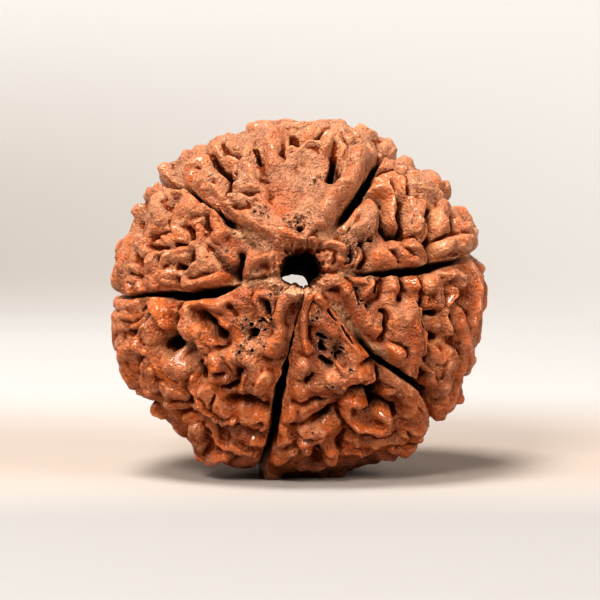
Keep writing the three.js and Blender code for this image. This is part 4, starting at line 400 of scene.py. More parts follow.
# The relief as the camera sees it: a half width, a level or a depth, and a line of u and v on the chart.
strokes = [
    # The top lobe.
    ridge(0.58, 0.05, -7.2, 7.9, -6.9, 8.5, -6.3, 8.8),
    plate(0.75, 0.1, -6.3, 7.6, -5.6, 8.2, -5.2, 8.1),
    ridge(0.42, 0.05, -6.2, 7.1, -5.4, 6.9, -5.2, 6.6), pit(0.17, 1.2, -5.7, 8.9, -4.9, 8.7, -4.4, 8.0),
    ridge(0.55, 0.05, -5.7, 9.2, -5.2, 9.6), ridge(0.38, -0.1, -4.6, 9.3, -4.4, 8.6),
    ridge(0.42, -0.1, -4.6, 9.9, -3.9, 9.8, -3.2, 9.8), ridge(0.4, 0, -3.9, 9.2, -3.5, 9.6),
    plate(0.5, 0, -4.5, 8.0, -3.9, 8.8, -3.2, 8.8), plate(0.42, -0.1, -4.2, 7.6, -3.6, 8.2),
    pit(0.22, 1.2, -2.9, 9.7, -2.6, 9.1), ridge(0.4, -0.1, -2.4, 10.4, -2.4, 9.8),
    ridge(0.75, 0.15, -1.4, 10.6, -1.6, 9.8, -1.9, 9.2), pit(0.35, 1.6, -0.45, 10.6, -0.35, 10.3),
    ridge(0.35, -0.2, -0.3, 10.85, 0.3, 10.8), ridge(0.55, 0.1, 0.7, 10.6, 1.3, 10.6),
    ridge(0.5, 0.1, 1.7, 10.4, 2.4, 10.8, 3.1, 10.3), ridge(0.4, 0, 2.2, 11.0, 3.5, 10.6, 4.0, 10.2),
    plate(0.7, -0.1, -0.7, 9.2, 0.4, 9.5, 1.4, 9.3), plate(0.8, -0.35, -0.8, 8.4, 0.6, 8.9, 1.6, 8.6),
    ridge(0.22, 0.05, -1.2, 9.6, -0.6, 9.8, 0, 9.6, 0.5, 10.1, 1.1, 10.1, 1.7, 9.9),
    ridge(0.34, -0.25, 1.5, 7.9, 1.7, 7.5), ridge(0.3, -0.2, 0.8, 8.2, 1.0, 8.1),
    plate(0.8, -0.55, -1.3, 7.3, -0.3, 6.8, 0.9, 6.9), plate(0.65, -0.4, -0.9, 5.7, 0.2, 5.8, 1.0, 6.2),
    pit(0.35, 2, 2.2, 9.4, 2.15, 8.7, 2.15, 8.0), pit(0.16, 1.2, 2.72, 8.5, 2.5, 7.9),
    ridge(0.36, 0.25, 1.6, 9.7, 2.3, 10.3, 2.75, 9.7, 2.6, 9.2, 2.55, 8.8),
    ridge(0.6, 0.1, 4.6, 9.6, 3.8, 9.2), plate(0.7, 0.15, 3.6, 9.2, 3.5, 8.4, 3.2, 7.7, 2.9, 7.1),
    ridge(0.5, 0, 2.7, 6.9, 2.3, 6.4, 1.9, 5.9), ridge(0.35, 0.05, 1.5, 5.5, 2.0, 5.5),
    ridge(0.35, -0.1, 4.6, 9.9, 5.3, 9.8, 5.4, 9.4), pit(0.25, 1.4, 0.1, 4.85, 0.0, 4.6),
    ridge(0.35, 0.05, 1.6, 5.0, 0.9, 4.9, 0.5, 4.3, 0.25, 3.8),
    ridge(0.4, 0.05, -4.7, 6.1, -4.0, 5.6, -3.4, 5.1, -2.6, 4.7, -1.9, 4.5, -1.2, 4.2, -0.4, 4.1),
    ridge(0.35, 0, -1.8, 4.6, -1.4, 4.0, -1.6, 3.5), plate(0.45, 0, -4.4, 6.6, -3.9, 6.5),
    plate(0.5, -0.35, -2.9, 5.5, -2.2, 5.3, -1.5, 5.1), pit(0.17, 1, -3.6, 6.65, -3.2, 6.9, -2.7, 7.0),
    ridge(0.27, 0, -3.7, 7.1, -3.0, 7.3, -2.4, 7.0, -2.1, 6.5),
    ridge(0.22, -0.05, -3.4, 6.4, -2.8, 6.7, -2.3, 6.3, -2.1, 5.9),
    ridge(0.27, 0, -3.3, 7.9, -3.3, 8.2, -3.0, 8.6, -2.4, 8.5, -2.1, 8.1),
    furrow(0.17, 1.25, -5.9, 9.1, -5.3, 8.75, -4.9, 8.65, -4.5, 8.2, -4.6, 7.6, -4.8, 7.0),
    furrow(0.12, 0.75, -4.9, 9.9, -4.8, 9.55, -4.4, 9.5, -4.0, 9.3),
    furrow(0.13, 0.9, -4.05, 9.0, -4.2, 8.4), furrow(0.13, 0.8, -4.75, 6.95, -4.2, 7.0, -3.6, 6.75),
    furrow(0.18, 0.65, -4.3, 6.0, -3.4, 5.9), furrow(0.22, 0.7, -2.4, 8.1, -2.1, 8.0),
    furrow(0.3, 0.7, -2.55, 9.3, -2.5, 8.6, -1.9, 8.0, -1.8, 7.2, -2.0, 6.6),
    furrow(0.12, 0.45, -7.5, 8.0, -7.0, 8.25, -6.2, 8.5),
    furrow(0.13, 1.0, 3.0, 9.85, 3.5, 9.85, 4.1, 9.95),
    furrow(0.12, 0.6, 1.2, 10.2, 1.6, 10.5, 1.7, 10.9), furrow(0.13, 0.3, 4.3, 9.6, 4.5, 9.2, 4.4, 8.8),
    furrow(0.12, 0.8, 5.2, 9.8, 5.3, 9.3, 5.1, 9.1), furrow(0.12, 1.2, 2.65, 8.9, 2.6, 8.4),
    furrow(0.14, 0.6, -0.9, 10.4, -1.0, 9.9, -1.2, 9.4),

    # The upper right lobe.
    plate(0.9, -0.2, 7.0, 3.8, 8.0, 4.2), plate(0.9, -0.15, 8.4, 6.6, 8.9, 5.8),
    plate(0.7, -0.2, 3.6, 4.0, 4.4, 4.6), ridge(0.52, 0.15, 5.05, 7.2, 5.6, 6.7, 5.95, 5.9, 5.95, 5.2),
    ridge(0.4, 0.05, 5.95, 5.0, 6.5, 4.8), ridge(0.4, -0.1, 5.4, 8.0, 5.9, 7.9, 6.15, 7.3),
    ridge(0.38, 0.1, 6.6, 7.9, 6.85, 7.3, 7.0, 6.75), ridge(0.3, -0.15, 5.9, 8.3, 6.5, 8.3, 7.0, 8.0),
    ridge(0.38, -0.05, 5.4, 8.75, 6.1, 8.85, 6.6, 8.5), plate(0.75, 0, 7.4, 7.7, 8.0, 7.2, 8.6, 6.9),
    plate(0.6, 0.05, 7.4, 6.3, 7.7, 5.7, 7.6, 5.0, 7.5, 4.6), pit(0.2, 1.2, 6.75, 6.2, 6.85, 5.3),
    ridge(0.3, 0.1, 7.5, 6.5, 8.1, 6.1, 8.0, 5.5, 8.05, 5.0, 8.4, 4.4, 8.3, 3.8),
    pit(0.4, 2.2, 8.5, 5.9, 8.4, 5.2), plate(0.55, 0, 9.3, 5.6, 9.2, 4.8, 9.5, 4.3),
    ridge(0.4, 0, 9.0, 6.1, 9.5, 5.9), pit(0.2, 1.4, 9.85, 5.3, 10.0, 4.5),
    ridge(0.32, 0, 10.1, 5.1, 10.5, 4.6), plate(0.62, 0.15, 9.1, 3.4, 9.8, 3.4, 10.8, 3.5),
    ridge(0.5, 0.1, 5.2, 2.7, 5.8, 2.4, 6.2, 2.2), ridge(0.4, 0.05, 6.3, 3.2, 6.8, 2.7, 7.6, 2.45),
    ridge(0.35, 0.05, 6.8, 3.7, 7.4, 3.3, 8.0, 2.9, 8.5, 2.6),
    ridge(0.35, 0, 6.7, 3.7, 7.3, 3.9, 7.8, 3.6), pit(0.22, 1.5, 8.5, 3.6, 8.5, 3.0),
    plate(0.6, 0.05, 4.6, 5.9, 4.4, 5.2, 4.3, 4.5),
    ridge(0.3, 0.05, 4.5, 6.3, 3.9, 5.9, 3.4, 5.3, 3.0, 4.6),
    ridge(0.3, 0.1, 4.7, 6.2, 5.0, 5.5, 5.2, 4.8), pit(0.17, 1.8, 5.2, 6.3, 5.45, 5.4, 5.55, 4.7),
    plate(0.5, -0.35, 4.8, 3.7, 5.4, 3.8, 5.9, 4.0), pit(0.3, 1.5, 4.1, 3.65, 4.1, 3.5),
    ridge(0.26, 0.05, 2.6, 3.3, 3.2, 3.2, 3.6, 2.9, 3.5, 2.4, 3.1, 2.2, 2.6, 2.6),
    ridge(0.28, 0.1, 3.9, 3.5, 4.1, 2.9, 3.9, 2.4),
    ridge(0.32, 0.3, 0.9, 3.7, 1.6, 3.65, 2.2, 3.35, 2.6, 3.2), plate(0.5, -0.35, 1.5, 2.9, 1.7, 2.3),
    furrow(0.13, 0.8, 5.2, 8.4, 5.6, 8.6, 6.3, 8.55, 6.7, 8.2, 7.1, 7.6, 7.2, 7.0),
    furrow(0.14, 1.1, 6.2, 7.9, 6.3, 7.3, 6.35, 6.9, 6.6, 6.3),
    furrow(0.1, 0.6, 5.0, 7.7, 5.6, 7.6, 6.1, 7.2, 6.25, 6.8),
    furrow(0.19, 1.7, 4.8, 6.6, 5.15, 6.2, 5.35, 5.6, 5.5, 5.0, 5.75, 4.5, 6.1, 4.25, 6.7, 4.15),
    furrow(0.2, 1.2, 6.85, 6.4, 6.75, 5.8, 6.75, 5.2, 6.9, 4.8, 6.8, 4.4),
    furrow(0.13, 0.65, 7.2, 6.8, 7.6, 6.6, 8.1, 6.4, 8.3, 6.0),
    furrow(0.18, 1.1, 8.4, 5.2, 8.55, 4.6, 8.75, 4.0, 8.6, 3.6),
    furrow(0.13, 0.75, 8.9, 3.95, 9.4, 4.0, 9.9, 4.15),
    furrow(0.17, 1.4, 8.5, 3.4, 8.65, 3.0, 8.85, 2.6),
    furrow(0.12, 0.75, 6.6, 4.05, 7.4, 4.05, 7.65, 3.7, 8.0, 3.35, 8.4, 3.05),
    furrow(0.12, 0.65, 6.1, 3.1, 6.2, 2.75, 6.5, 2.4), furrow(0.1, 0.5, 7.0, 3.2, 7.3, 2.75, 7.8, 2.5),
    furrow(0.14, 0.85, 4.25, 3.1, 4.35, 2.6, 4.2, 2.2),
    furrow(0.1, 0.6, 3.0, 2.3, 3.35, 2.35, 3.5, 2.8, 3.2, 3.1),
    furrow(0.12, 0.45, 7.2, 5.7, 7.4, 5.4, 7.35, 5.0),

    # The lower right lobe.
    plate(0.95, -0.05, 6.6, -1.4, 6.9, -2.6, 7.1, -3.8), plate(0.9, -0.15, 9.1, -4.2, 9.0, -5.2),
    plate(0.55, 0.2, 1.4, 1.0, 2.4, 1.1, 3.0, 0.7),
    ridge(0.42, 0.1, 2.9, 1.0, 3.2, 0.3, 3.6, -0.4, 4.1, -1.2, 4.7, -1.8, 5.3, -2.3),
    plate(0.36, -0.25, 1.2, 0.5, 1.9, 0.0, 2.6, -0.3), ridge(0.3, 0, 3.9, 1.2, 4.3, 1.2),
    ridge(0.25, 0.1, 4.9, 1.2, 4.6, 0.7, 4.2, 0.1), plate(0.55, -0.4, 4.6, -0.9, 5.2, -0.1, 5.6, 0.4),
    pit(0.2, 1.2, 5.3, 1.1, 4.95, 0.4), ridge(0.62, 0.15, 6.1, 1.0, 6.4, 0.9),
    ridge(0.45, -0.1, 6.3, 0.6, 6.3, -0.1), ridge(0.45, 0.1, 7.4, 1.15, 7.5, 0.8),
    pit(0.22, 1.3, 6.95, 0.6, 6.7, 0.0), plate(0.65, 0.05, 8.3, 0.8, 9.0, 1.0),
    plate(0.5, 0.05, 9.0, 0.6, 9.1, -0.2), ridge(0.4, 0.15, 9.6, 1.5, 10.1, 1.75, 10.5, 1.3, 10.5, 0.8),
    pit(0.16, 1.3, 9.6, 0.95, 9.6, 0.3), ridge(0.27, 0.05, 9.95, 0.6, 10.0, 0.1, 9.7, -0.3),
    ridge(0.5, 0.05, 11.0, 2.1, 11.4, 1.2, 11.45, 0.2, 11.3, -0.8, 11.05, -1.5),
    pit(0.25, 1.2, 10.7, 0.6, 10.5, -0.2), pit(0.25, 1.8, 8.3, -1.1, 9.0, -0.85),
    ridge(0.22, 0, 8.2, -0.1, 8.2, -0.6, 8.7, -0.5, 9.3, -0.5),
    ridge(0.36, 0.15, 9.5, -0.8, 9.7, -1.5, 9.75, -2.2), plate(0.45, -0.25, 9.1, -1.4, 8.8, -1.8),
    pit(0.32, 1.9, 8.5, -2.6, 9.2, -2.6),
    ridge(0.36, 0, 10.2, -0.9, 10.5, -1.5, 10.55, -2.3, 10.6, -3.0),
    plate(0.65, 0, 7.0, -0.6, 7.2, -1.6, 7.4, -2.6, 7.3, -3.6, 7.3, -4.3),
    ridge(0.27, 0.15, 7.8, -0.8, 7.9, -1.4, 8.2, -2.1, 8.1, -2.8, 8.1, -3.6),
    plate(0.5, -0.35, 6.0, -0.9, 6.6, -1.7), ridge(0.35, 0, 5.6, -0.9, 6.0, -1.3, 6.2, -1.7),
    ridge(0.55, 0.25, 6.15, -3.4, 6.35, -3.7), plate(0.35, 0.05, 7.2, -4.3, 7.2, -4.8),
    ridge(0.4, 0.1, 8.4, -3.1, 8.8, -3.4, 9.0, -3.9), pit(0.2, 1.4, 8.25, -3.4, 8.35, -4.1),
    plate(0.45, 0.05, 9.6, -3.4, 9.5, -4.4, 9.4, -5.2, 9.2, -5.9),
    ridge(0.27, 0.12, 9.8, -3.3, 9.9, -4.2, 9.7, -5.1, 9.4, -6.0, 9.1, -6.6),
    ridge(0.4, 0.05, 8.1, -4.3, 8.5, -5.0, 8.6, -5.6), plate(0.5, 0, 9.0, -5.6, 8.9, -6.3),
    ridge(0.38, -0.05, 10.5, -3.2, 10.5, -4.2, 10.2, -5.2, 9.8, -6.0, 9.3, -6.7),
    pit(0.25, 1.6, 8.4, -6.1, 8.55, -6.8), ridge(0.36, -0.1, 8.9, -7.0, 8.7, -7.6, 8.3, -7.9),
    furrow(0.12, 0.75, 10.0, -3.0, 10.05, -4.2, 9.9, -4.9, 9.5, -5.9),
    furrow(0.13, 0.9, 9.7, -0.9, 9.95, -1.4, 10.15, -2.1, 10.0, -2.7),
    furrow(0.13, 0.9, 8.0, -0.9, 7.95, -1.4, 8.25, -2.0, 8.4, -2.5),
    furrow(0.2, 1.0, 5.5, -0.9, 5.8, -1.5, 5.75, -2.1, 5.5, -2.6),
    furrow(0.12, 0.5, 5.7, -2.85, 6.3, -2.8, 6.75, -3.2, 6.75, -3.8),
    furrow(0.14, 0.8, 5.6, 1.3, 5.45, 0.7, 5.2, 0.1, 4.8, -0.3),
    furrow(0.16, 1.3, 6.95, 1.2, 6.9, 0.6, 6.75, 0.0),
    furrow(0.12, 0.7, 8.0, 1.4, 7.95, 0.9, 7.8, 0.3, 7.9, -0.3),
    furrow(0.14, 0.8, 3.35, 1.4, 3.5, 0.9, 3.9, 0.5, 4.0, -0.1),
    furrow(0.16, 1.1, 10.75, 1.7, 10.85, 1.0, 10.75, 0.2, 10.6, -0.4, 10.8, -1.2),
    furrow(0.12, 0.8, 9.4, 1.4, 9.45, 0.9, 9.5, 0.2), furrow(0.14, 0.9, 8.0, -4.4, 8.3, -4.9, 8.2, -5.6),

    # The bottom lobe.
    plate(0.85, 0, 6.6, -5.8, 7.4, -6.5, 7.3, -7.4), plate(0.9, -0.15, 4.4, -9.2, 5.4, -9.0),
    plate(0.8, -0.2, 0.6, -6.2, 1.4, -6.5), plate(0.7, -0.2, 0.5, -3.2, 0.6, -2.2),
    ridge(0.35, 0.25, 0.6, 0.2, 0.3, -0.6, 0.35, -1.5, 0.4, -2.4, 0.6, -3.3),
    plate(0.5, 0.05, 0.2, -4.3, -0.1, -4.9), ridge(0.5, 0.05, -0.2, -5.8, 0.1, -6.5),
    ridge(0.4, 0, -0.7, -7.2, -0.6, -7.7, -0.9, -8.0),
    ridge(0.35, 0, -1.0, -8.6, -0.8, -9.2, -1.2, -9.5),
    ridge(0.42, 0.1, -1.8, -10.6, -1.2, -10.2, -0.5, -9.8),
    ridge(0.4, 0, 1.3, 0.0, 1.9, -0.8, 2.6, -1.6, 3.3, -2.5, 3.9, -3.3, 4.3, -3.9),
    plate(0.6, -0.1, 1.0, -0.6, 1.5, -1.6, 2.2, -2.0), pit(0.2, 1.2, 1.3, -2.35, 1.65, -2.6),
    plate(0.5, -0.3, 2.3, -2.9, 2.9, -3.6, 2.4, -4.2), pit(0.24, 1.3, 1.4, -2.9, 1.35, -3.3, 1.6, -3.6),
    pit(0.24, 1.2, 1.5, -4.1, 2.1, -4.5), plate(0.6, -0.05, 3.4, -3.4, 3.8, -4.3, 3.6, -5.1, 3.0, -5.4),
    plate(0.5, 0.05, 4.0, -4.8, 4.7, -5.0), ridge(0.27, 0.1, 4.9, -4.8, 5.0, -5.4, 4.5, -5.7),
    plate(0.55, 0, 2.2, -5.3, 2.6, -5.9), plate(0.55, -0.15, 1.2, -5.9, 1.6, -6.3),
    pit(0.2, 1.3, 0.45, -5.5, 0.9, -5.1), pit(0.2, 1.3, 1.2, -6.75, 1.9, -6.55, 2.6, -6.3, 3.2, -6.2),
    pit(0.3, 2, 3.8, -6.1, 4.5, -6.2, 4.9, -6.6), pit(0.3, 2, 4.4, -7.6, 4.9, -7.25),
    ridge(0.34, 0.15, 2.7, -7.2, 3.3, -6.8, 4.0, -7.0, 4.4, -7.1),
    ridge(0.42, 0.15, 3.2, -6.8, 2.8, -7.3, 3.2, -8.0, 4.0, -8.5, 4.9, -8.6,
        5.6, -8.3, 5.7, -7.8, 5.3, -7.6),
    ridge(0.36, 0.05, 5.3, -6.5, 5.9, -6.2, 6.4, -5.9), pit(0.2, 1.4, 5.15, -5.0, 5.25, -5.5),
    plate(0.6, 0.05, 5.9, -5.2, 6.8, -5.7, 7.5, -6.3), plate(0.5, 0.1, 7.7, -6.6, 7.9, -7.4, 7.5, -8.2),
    pit(0.24, 1.5, 6.3, -7.2, 6.35, -7.9), plate(0.45, -0.4, 6.9, -7.6, 7.0, -8.2),
    plate(0.45, 0, 6.6, -8.9, 5.8, -9.2, 5.0, -9.3), ridge(0.36, 0, 7.4, -8.8, 6.6, -9.4, 5.8, -9.6),
    plate(0.45, -0.1, 0.3, -7.5, 0.8, -7.1), plate(0.5, 0, 0.4, -8.6, 1.0, -8.6, 1.3, -8.9),
    ridge(0.32, 0.05, 0.1, -9.3, 0.9, -9.4, 1.5, -9.1), pit(0.26, 1.3, 1.4, -8.0, 1.9, -7.6),
    plate(0.5, -0.55, 2.2, -8.6, 2.4, -9.4), ridge(0.45, 0.2, 2.0, -9.9, 1.8, -10.3),
    pit(0.25, 1.6, 1.2, -9.6, 1.1, -10.1), ridge(0.32, 0.05, 0.3, -9.9, 0.7, -10.0),
    ridge(0.42, -0.1, 0.3, -10.9, 1.0, -10.9, 1.6, -10.7),
    ridge(0.42, -0.1, 3.0, -10.0, 3.8, -9.9, 4.4, -10.1), plate(0.5, -0.3, 3.2, -9.0, 3.9, -9.2),
    furrow(0.15, 1.2, 4.1, -4.35, 4.6, -4.45, 5.0, -4.4),
    furrow(0.17, 1.3, 2.4, -7.3, 1.9, -7.45, 1.4, -7.9, 1.1, -8.1),
    furrow(0.15, 1.0, 2.4, -7.6, 3.0, -8.2, 3.6, -8.75, 4.4, -9.05, 5.3, -9.2, 6.2, -8.9),
    furrow(0.14, 0.9, -0.3, -10.15, 0.5, -10.35, 1.0, -10.5),
    furrow(0.12, 0.6, 6.0, -9.5, 6.6, -9.2, 7.5, -8.8),
    furrow(0.14, 1.0, 5.2, -7.0, 5.6, -6.95, 6.1, -7.1),
    furrow(0.13, 0.7, 0.95, -4.2, 1.0, -4.8, 0.6, -5.1),
    furrow(0.14, 0.8, 1.0, -6.8, 0.5, -6.9, 0.0, -7.0, -0.5, -6.9),
    furrow(0.13, 0.7, 0.9, -1.9, 0.85, -2.6, 0.95, -3.4),
    furrow(0.16, 0.9, 2.5, -9.8, 2.7, -9.3, 3.0, -8.9),
    furrow(0.12, 0.7, -0.4, -8.4, 0.2, -8.2, 0.8, -8.0),
    furrow(0.12, 0.7, 5.0, -4.6, 5.4, -5.2, 5.3, -5.8),

    # The lower left lobe.
    plate(0.85, -0.15, -5.9, -2.6, -5.4, -3.4), plate(1.1, -0.15, -3.6, -4.6, -3.2, -5.6, -2.4, -6.4),
    plate(1.0, -0.1, -5.6, -6.0, -5.0, -7.0), plate(1.1, -0.1, -8.9, -5.0, -8.2, -6.0),
    plate(0.8, -0.15, -9.8, -2.6, -9.6, -3.6),
    ridge(0.4, 0.35, 0.05, 0.5, -0.4, 0.2, -1.0, -0.4, -1.3, -1.0, -1.35, -1.8, -1.4, -2.6),
    ridge(0.55, 0.15, -1.5, -2.9, -1.9, -3.4),
    ridge(0.25, 0.05, -2.0, -1.4, -2.5, -0.7, -2.9, -0.1, -2.7, 0.3, -2.2, 0.3, -1.8, 0.0, -1.8, -0.6),
    pit(0.2, 1.2, -2.3, -0.3, -2.1, -0.7), pit(0.16, 1.1, -2.4, -1.2, -1.9, -1.7),
    plate(0.6, -0.35, -4.0, -0.8, -3.6, -1.7, -3.5, -2.6), pit(0.33, 1.6, -3.05, -2.2, -3.0, -2.4),
    plate(0.42, -0.25, -3.6, 0.4, -3.0, 0.9, -2.2, 1.1), plate(0.45, -0.2, -1.6, 0.9, -1.0, 0.7),
    ridge(0.45, 0.1, -7.4, -0.55, -6.4, -0.55, -5.4, -0.45, -4.7, -0.3),
    ridge(0.3, 0.05, -4.7, -0.3, -4.5, -0.8),
    ridge(0.3, 0.05, -6.6, -0.9, -5.8, -1.2, -5.1, -1.5, -4.6, -1.8),
    plate(0.5, 0.1, -7.5, -0.9, -7.4, -1.8, -7.3, -2.4),
    plate(0.55, 0, -6.9, -1.9, -6.7, -2.8, -6.4, -3.4),
    pit(0.33, 1.6, -6.1, -1.5, -5.6, -1.8, -5.2, -2.4),
    ridge(0.27, -0.1, -6.1, -2.1, -5.8, -2.6, -5.4, -2.85),
    plate(0.42, 0, -5.0, -3.3, -4.6, -3.4, -4.4, -4.2),
    ridge(0.28, 0.1, -4.5, -3.3, -4.5, -4.2, -4.2, -4.9),
    ridge(0.32, 0.1, -6.9, -3.1, -6.6, -3.6, -6.2, -4.1), ridge(0.5, 0.1, -5.7, -4.1, -5.5, -4.5),
    pit(0.3, 2.2, -6.6, -4.4, -6.45, -5.2), plate(0.6, -0.1, -5.6, -5.2, -5.0, -5.5),
    ridge(0.28, 0.15, -6.9, -5.2, -7.1, -5.8, -6.8, -6.4, -6.3, -7.0, -5.7,
        -7.7, -5.0, -8.1, -4.2, -8.0),
    plate(0.6, 0, -6.2, -6.1, -5.6, -6.8, -4.9, -7.3), pit(0.3, 0.95, -4.3, -6.9, -3.7, -6.9),
    plate(0.55, 0, -3.3, -4.2, -3.0, -5.0), plate(0.5, 0.15, -2.2, -5.2, -2.5, -5.9),
    ridge(0.3, 0.1, -3.7, -5.2, -3.9, -6.0, -3.6, -6.5), ridge(0.32, 0, -2.6, -6.5, -2.4, -6.8),
    ridge(0.4, 0.1, -2.8, -7.6, -2.3, -7.6, -2.1, -8.2, -2.3, -8.6),
    plate(0.5, -0.1, -3.3, -7.9, -2.9, -8.3), pit(0.28, 1.9, -5.0, -8.5, -4.2, -8.5),
    ridge(0.32, 0.1, -5.9, -8.3, -5.6, -9.0, -5.1, -9.4, -4.3, -9.4, -3.6, -9.8, -3.0, -10.1),
    plate(0.4, -0.2, -4.2, -9.0, -3.4, -9.3, -2.8, -9.4), ridge(0.4, 0.05, -2.8, -9.3, -2.3, -9.4),
    plate(0.5, 0.1, -6.6, -8.3, -6.5, -9.0, -6.0, -9.8),
    ridge(0.45, 0.35, -6.2, -9.8, -5.2, -9.9, -4.6, -9.9),
    ridge(0.42, -0.1, -4.2, -10.4, -3.3, -10.5, -2.6, -10.6),
    ridge(0.45, 0.2, -9.4, -0.3, -9.0, -0.9, -8.7, -1.6, -8.5, -2.1),
    ridge(0.4, 0.1, -9.8, -0.6, -9.4, -0.3), plate(0.6, -0.05, -9.6, -1.7, -9.4, -2.4),
    ridge(0.36, 0.05, -10.2, -1.8, -10.6, -2.6, -10.4, -3.1), pit(0.5, 2.2, -8.9, -3.3, -8.5, -3.15),
    plate(0.4, -0.6, -7.9, -3.2, -7.4, -3.3), plate(0.7, 0, -8.6, -4.3, -8.0, -4.7, -7.6, -4.6),
    ridge(0.4, 0.1, -9.7, -4.1, -9.9, -4.6), plate(0.55, 0.05, -9.4, -4.8, -9.3, -5.6),
    plate(0.6, 0.05, -8.6, -5.6, -8.0, -6.0, -7.7, -6.3),
    ridge(0.27, 0.1, -10.0, -4.9, -9.8, -5.7, -9.4, -6.0), ridge(0.4, 0.05, -10.3, -3.3, -9.8, -3.3),
    ridge(0.3, 0, -7.6, -5.3, -7.7, -6.0, -7.3, -6.5),
    plate(0.38, 0.05, -8.3, -6.9, -7.4, -7.1, -6.6, -7.2),
    ridge(0.4, 0, -10.9, -3.0, -11.0, -3.9, -10.9, -4.8, -10.5, -5.4),
    ridge(0.27, -0.1, -10.2, -6.0, -9.8, -6.2), plate(0.45, -0.2, -7.2, -7.8, -6.6, -7.9),
    ridge(0.4, 0, -11.7, -0.5, -11.3, -0.3, -10.9, -0.2), ridge(0.36, 0, -11.4, -1.0, -11.0, -1.2),
    ridge(0.36, -0.05, -11.5, -1.7, -11.0, -1.9, -10.5, -1.7),
    furrow(0.36, 1.2, -8.2, -3.05, -7.7, -3.3, -7.1, -3.35),
    furrow(0.15, 1.4, -8.1, -0.7, -8.05, -1.6, -8.15, -2.4, -8.5, -2.6),
    furrow(0.12, 0.6, -9.6, -1.2, -9.3, -1.8, -8.9, -2.3),
    furrow(0.14, 1.0, -9.9, -0.8, -10.3, -1.4, -10.5, -2.1, -11.0, -2.2),
    furrow(0.12, 0.75, -10.15, -3.9, -10.35, -4.5, -10.15, -5.2, -9.95, -6.0),
    furrow(0.32, 1.1, -6.4, -1.35, -5.7, -1.7, -5.2, -2.3),
    furrow(0.13, 0.8, -5.9, -3.5, -5.2, -3.2, -4.8, -2.9),
    furrow(0.13, 0.6, -6.3, -4.85, -5.7, -5.0, -5.1, -4.9),
    furrow(0.18, 1.0, -4.9, -5.95, -4.3, -5.75, -4.05, -5.4, -4.05, -4.9),
    furrow(0.33, 1.0, -4.4, -6.85, -3.4, -6.8), furrow(0.12, 0.85, -3.1, -8.75, -2.6, -8.9, -2.0, -8.85),
    furrow(0.13, 0.8, -5.7, -7.95, -6.3, -7.6, -7.2, -7.35, -7.7, -7.35),
    furrow(0.12, 0.65, -5.95, -8.1, -5.85, -8.8, -5.3, -9.4),
    furrow(0.12, 0.8, -4.6, -10.2, -3.6, -10.2, -2.7, -10.5),
    furrow(0.11, 0.55, -2.1, -4.15, -1.6, -4.2, -1.0, -4.05),
    furrow(0.12, 0.65, -7.3, -5.0, -7.35, -5.6, -7.0, -6.2, -7.1, -6.9),
    furrow(0.12, 0.4, -5.5, -6.2, -5.7, -6.9, -5.4, -7.5),
    furrow(0.12, 0.8, -3.2, -6.9, -2.6, -7.0, -2.2, -7.1),
    furrow(0.2, 0.7, -4.6, -0.6, -4.2, -1.2, -4.3, -1.8, -4.7, -2.5),

    # The upper left lobe.
    plate(1.0, -0.15, -8.6, 3.6, -7.6, 4.4), plate(0.9, -0.15, -9.9, 2.2, -9.6, 3.2),
    plate(0.8, -0.2, -6.4, 4.0, -5.6, 3.6), plate(0.7, 0, -9.3, 6.3, -8.8, 6.7),
    plate(0.5, 0, -9.4, 5.6, -8.9, 5.2), ridge(0.4, -0.2, -9.5, 4.8, -9.3, 4.3),
    ridge(0.4, -0.15, -10.0, 4.0, -9.7, 4.4),
    ridge(0.3, 0.1, -8.6, 6.2, -8.2, 6.8, -7.6, 6.9, -7.1, 6.5, -6.8, 6.3),
    pit(0.27, 1.6, -8.2, 6.05, -8.25, 5.85), ridge(0.22, 0.1, -8.35, 5.0, -8.0, 5.5, -7.85, 5.9),
    plate(0.45, 0, -7.6, 6.3, -7.2, 5.8, -7.6, 5.2), plate(0.4, 0, -7.0, 5.8, -6.4, 5.9),
    ridge(0.4, 0.2, -5.9, 5.7, -5.7, 5.2), ridge(0.45, 0.2, -5.5, 4.7, -5.1, 4.5, -5.4, 4.2),
    ridge(0.3, 0, -7.0, 5.0, -6.6, 5.2, -6.2, 5.3), ridge(0.34, 0, -6.75, 4.7, -6.6, 4.7),
    ridge(0.45, 0.05, -8.3, 4.8, -7.9, 4.4, -7.6, 4.1),
    ridge(0.4, 0, -8.9, 4.0, -8.6, 3.6, -8.1, 3.9, -7.5, 3.9), pit(0.18, 1.1, -8.1, 3.45, -7.7, 3.4),
    ridge(0.36, -0.1, -6.7, 4.2, -6.6, 3.8), ridge(0.4, -0.3, -5.9, 3.9, -5.4, 3.6),
    plate(0.55, -0.4, -5.4, 2.9, -4.7, 2.6, -4.0, 3.0),
    ridge(0.36, 0.4, -3.9, 1.9, -3.4, 1.85, -2.9, 2.3, -2.3, 2.7, -1.8, 2.8, -1.4, 2.4, -1.25, 2.1),
    plate(0.45, -0.3, -2.6, 1.5, -1.8, 1.4),
    ridge(0.42, 0.15, -7.6, 1.1, -7.2, 1.0, -6.4, 1.0, -5.6, 1.3, -4.9, 1.6),
    plate(0.5, 0, -7.2, 1.6, -6.4, 2.0, -5.6, 1.9), plate(0.38, 0, -6.4, 2.4, -6.4, 3.0),
    ridge(0.35, 0.1, -9.2, 1.5, -8.9, 2.2, -8.3, 2.8, -7.5, 3.1, -6.9, 3.3),
    plate(0.36, -0.05, -8.0, 2.6, -7.4, 2.8), pit(0.25, 1, -7.9, 2.05, -7.3, 2.1, -7.0, 2.5),
    ridge(0.4, 0.05, -9.0, 1.3, -8.3, 1.6, -7.9, 1.5), ridge(0.27, 0, -8.8, 0.95, -8.2, 0.95),
    pit(0.25, 1.3, -9.2, 2.5, -9.15, 2.0), ridge(0.3, 0.05, -10.1, 1.6, -9.8, 2.2, -9.4, 2.8, -8.8, 2.9),
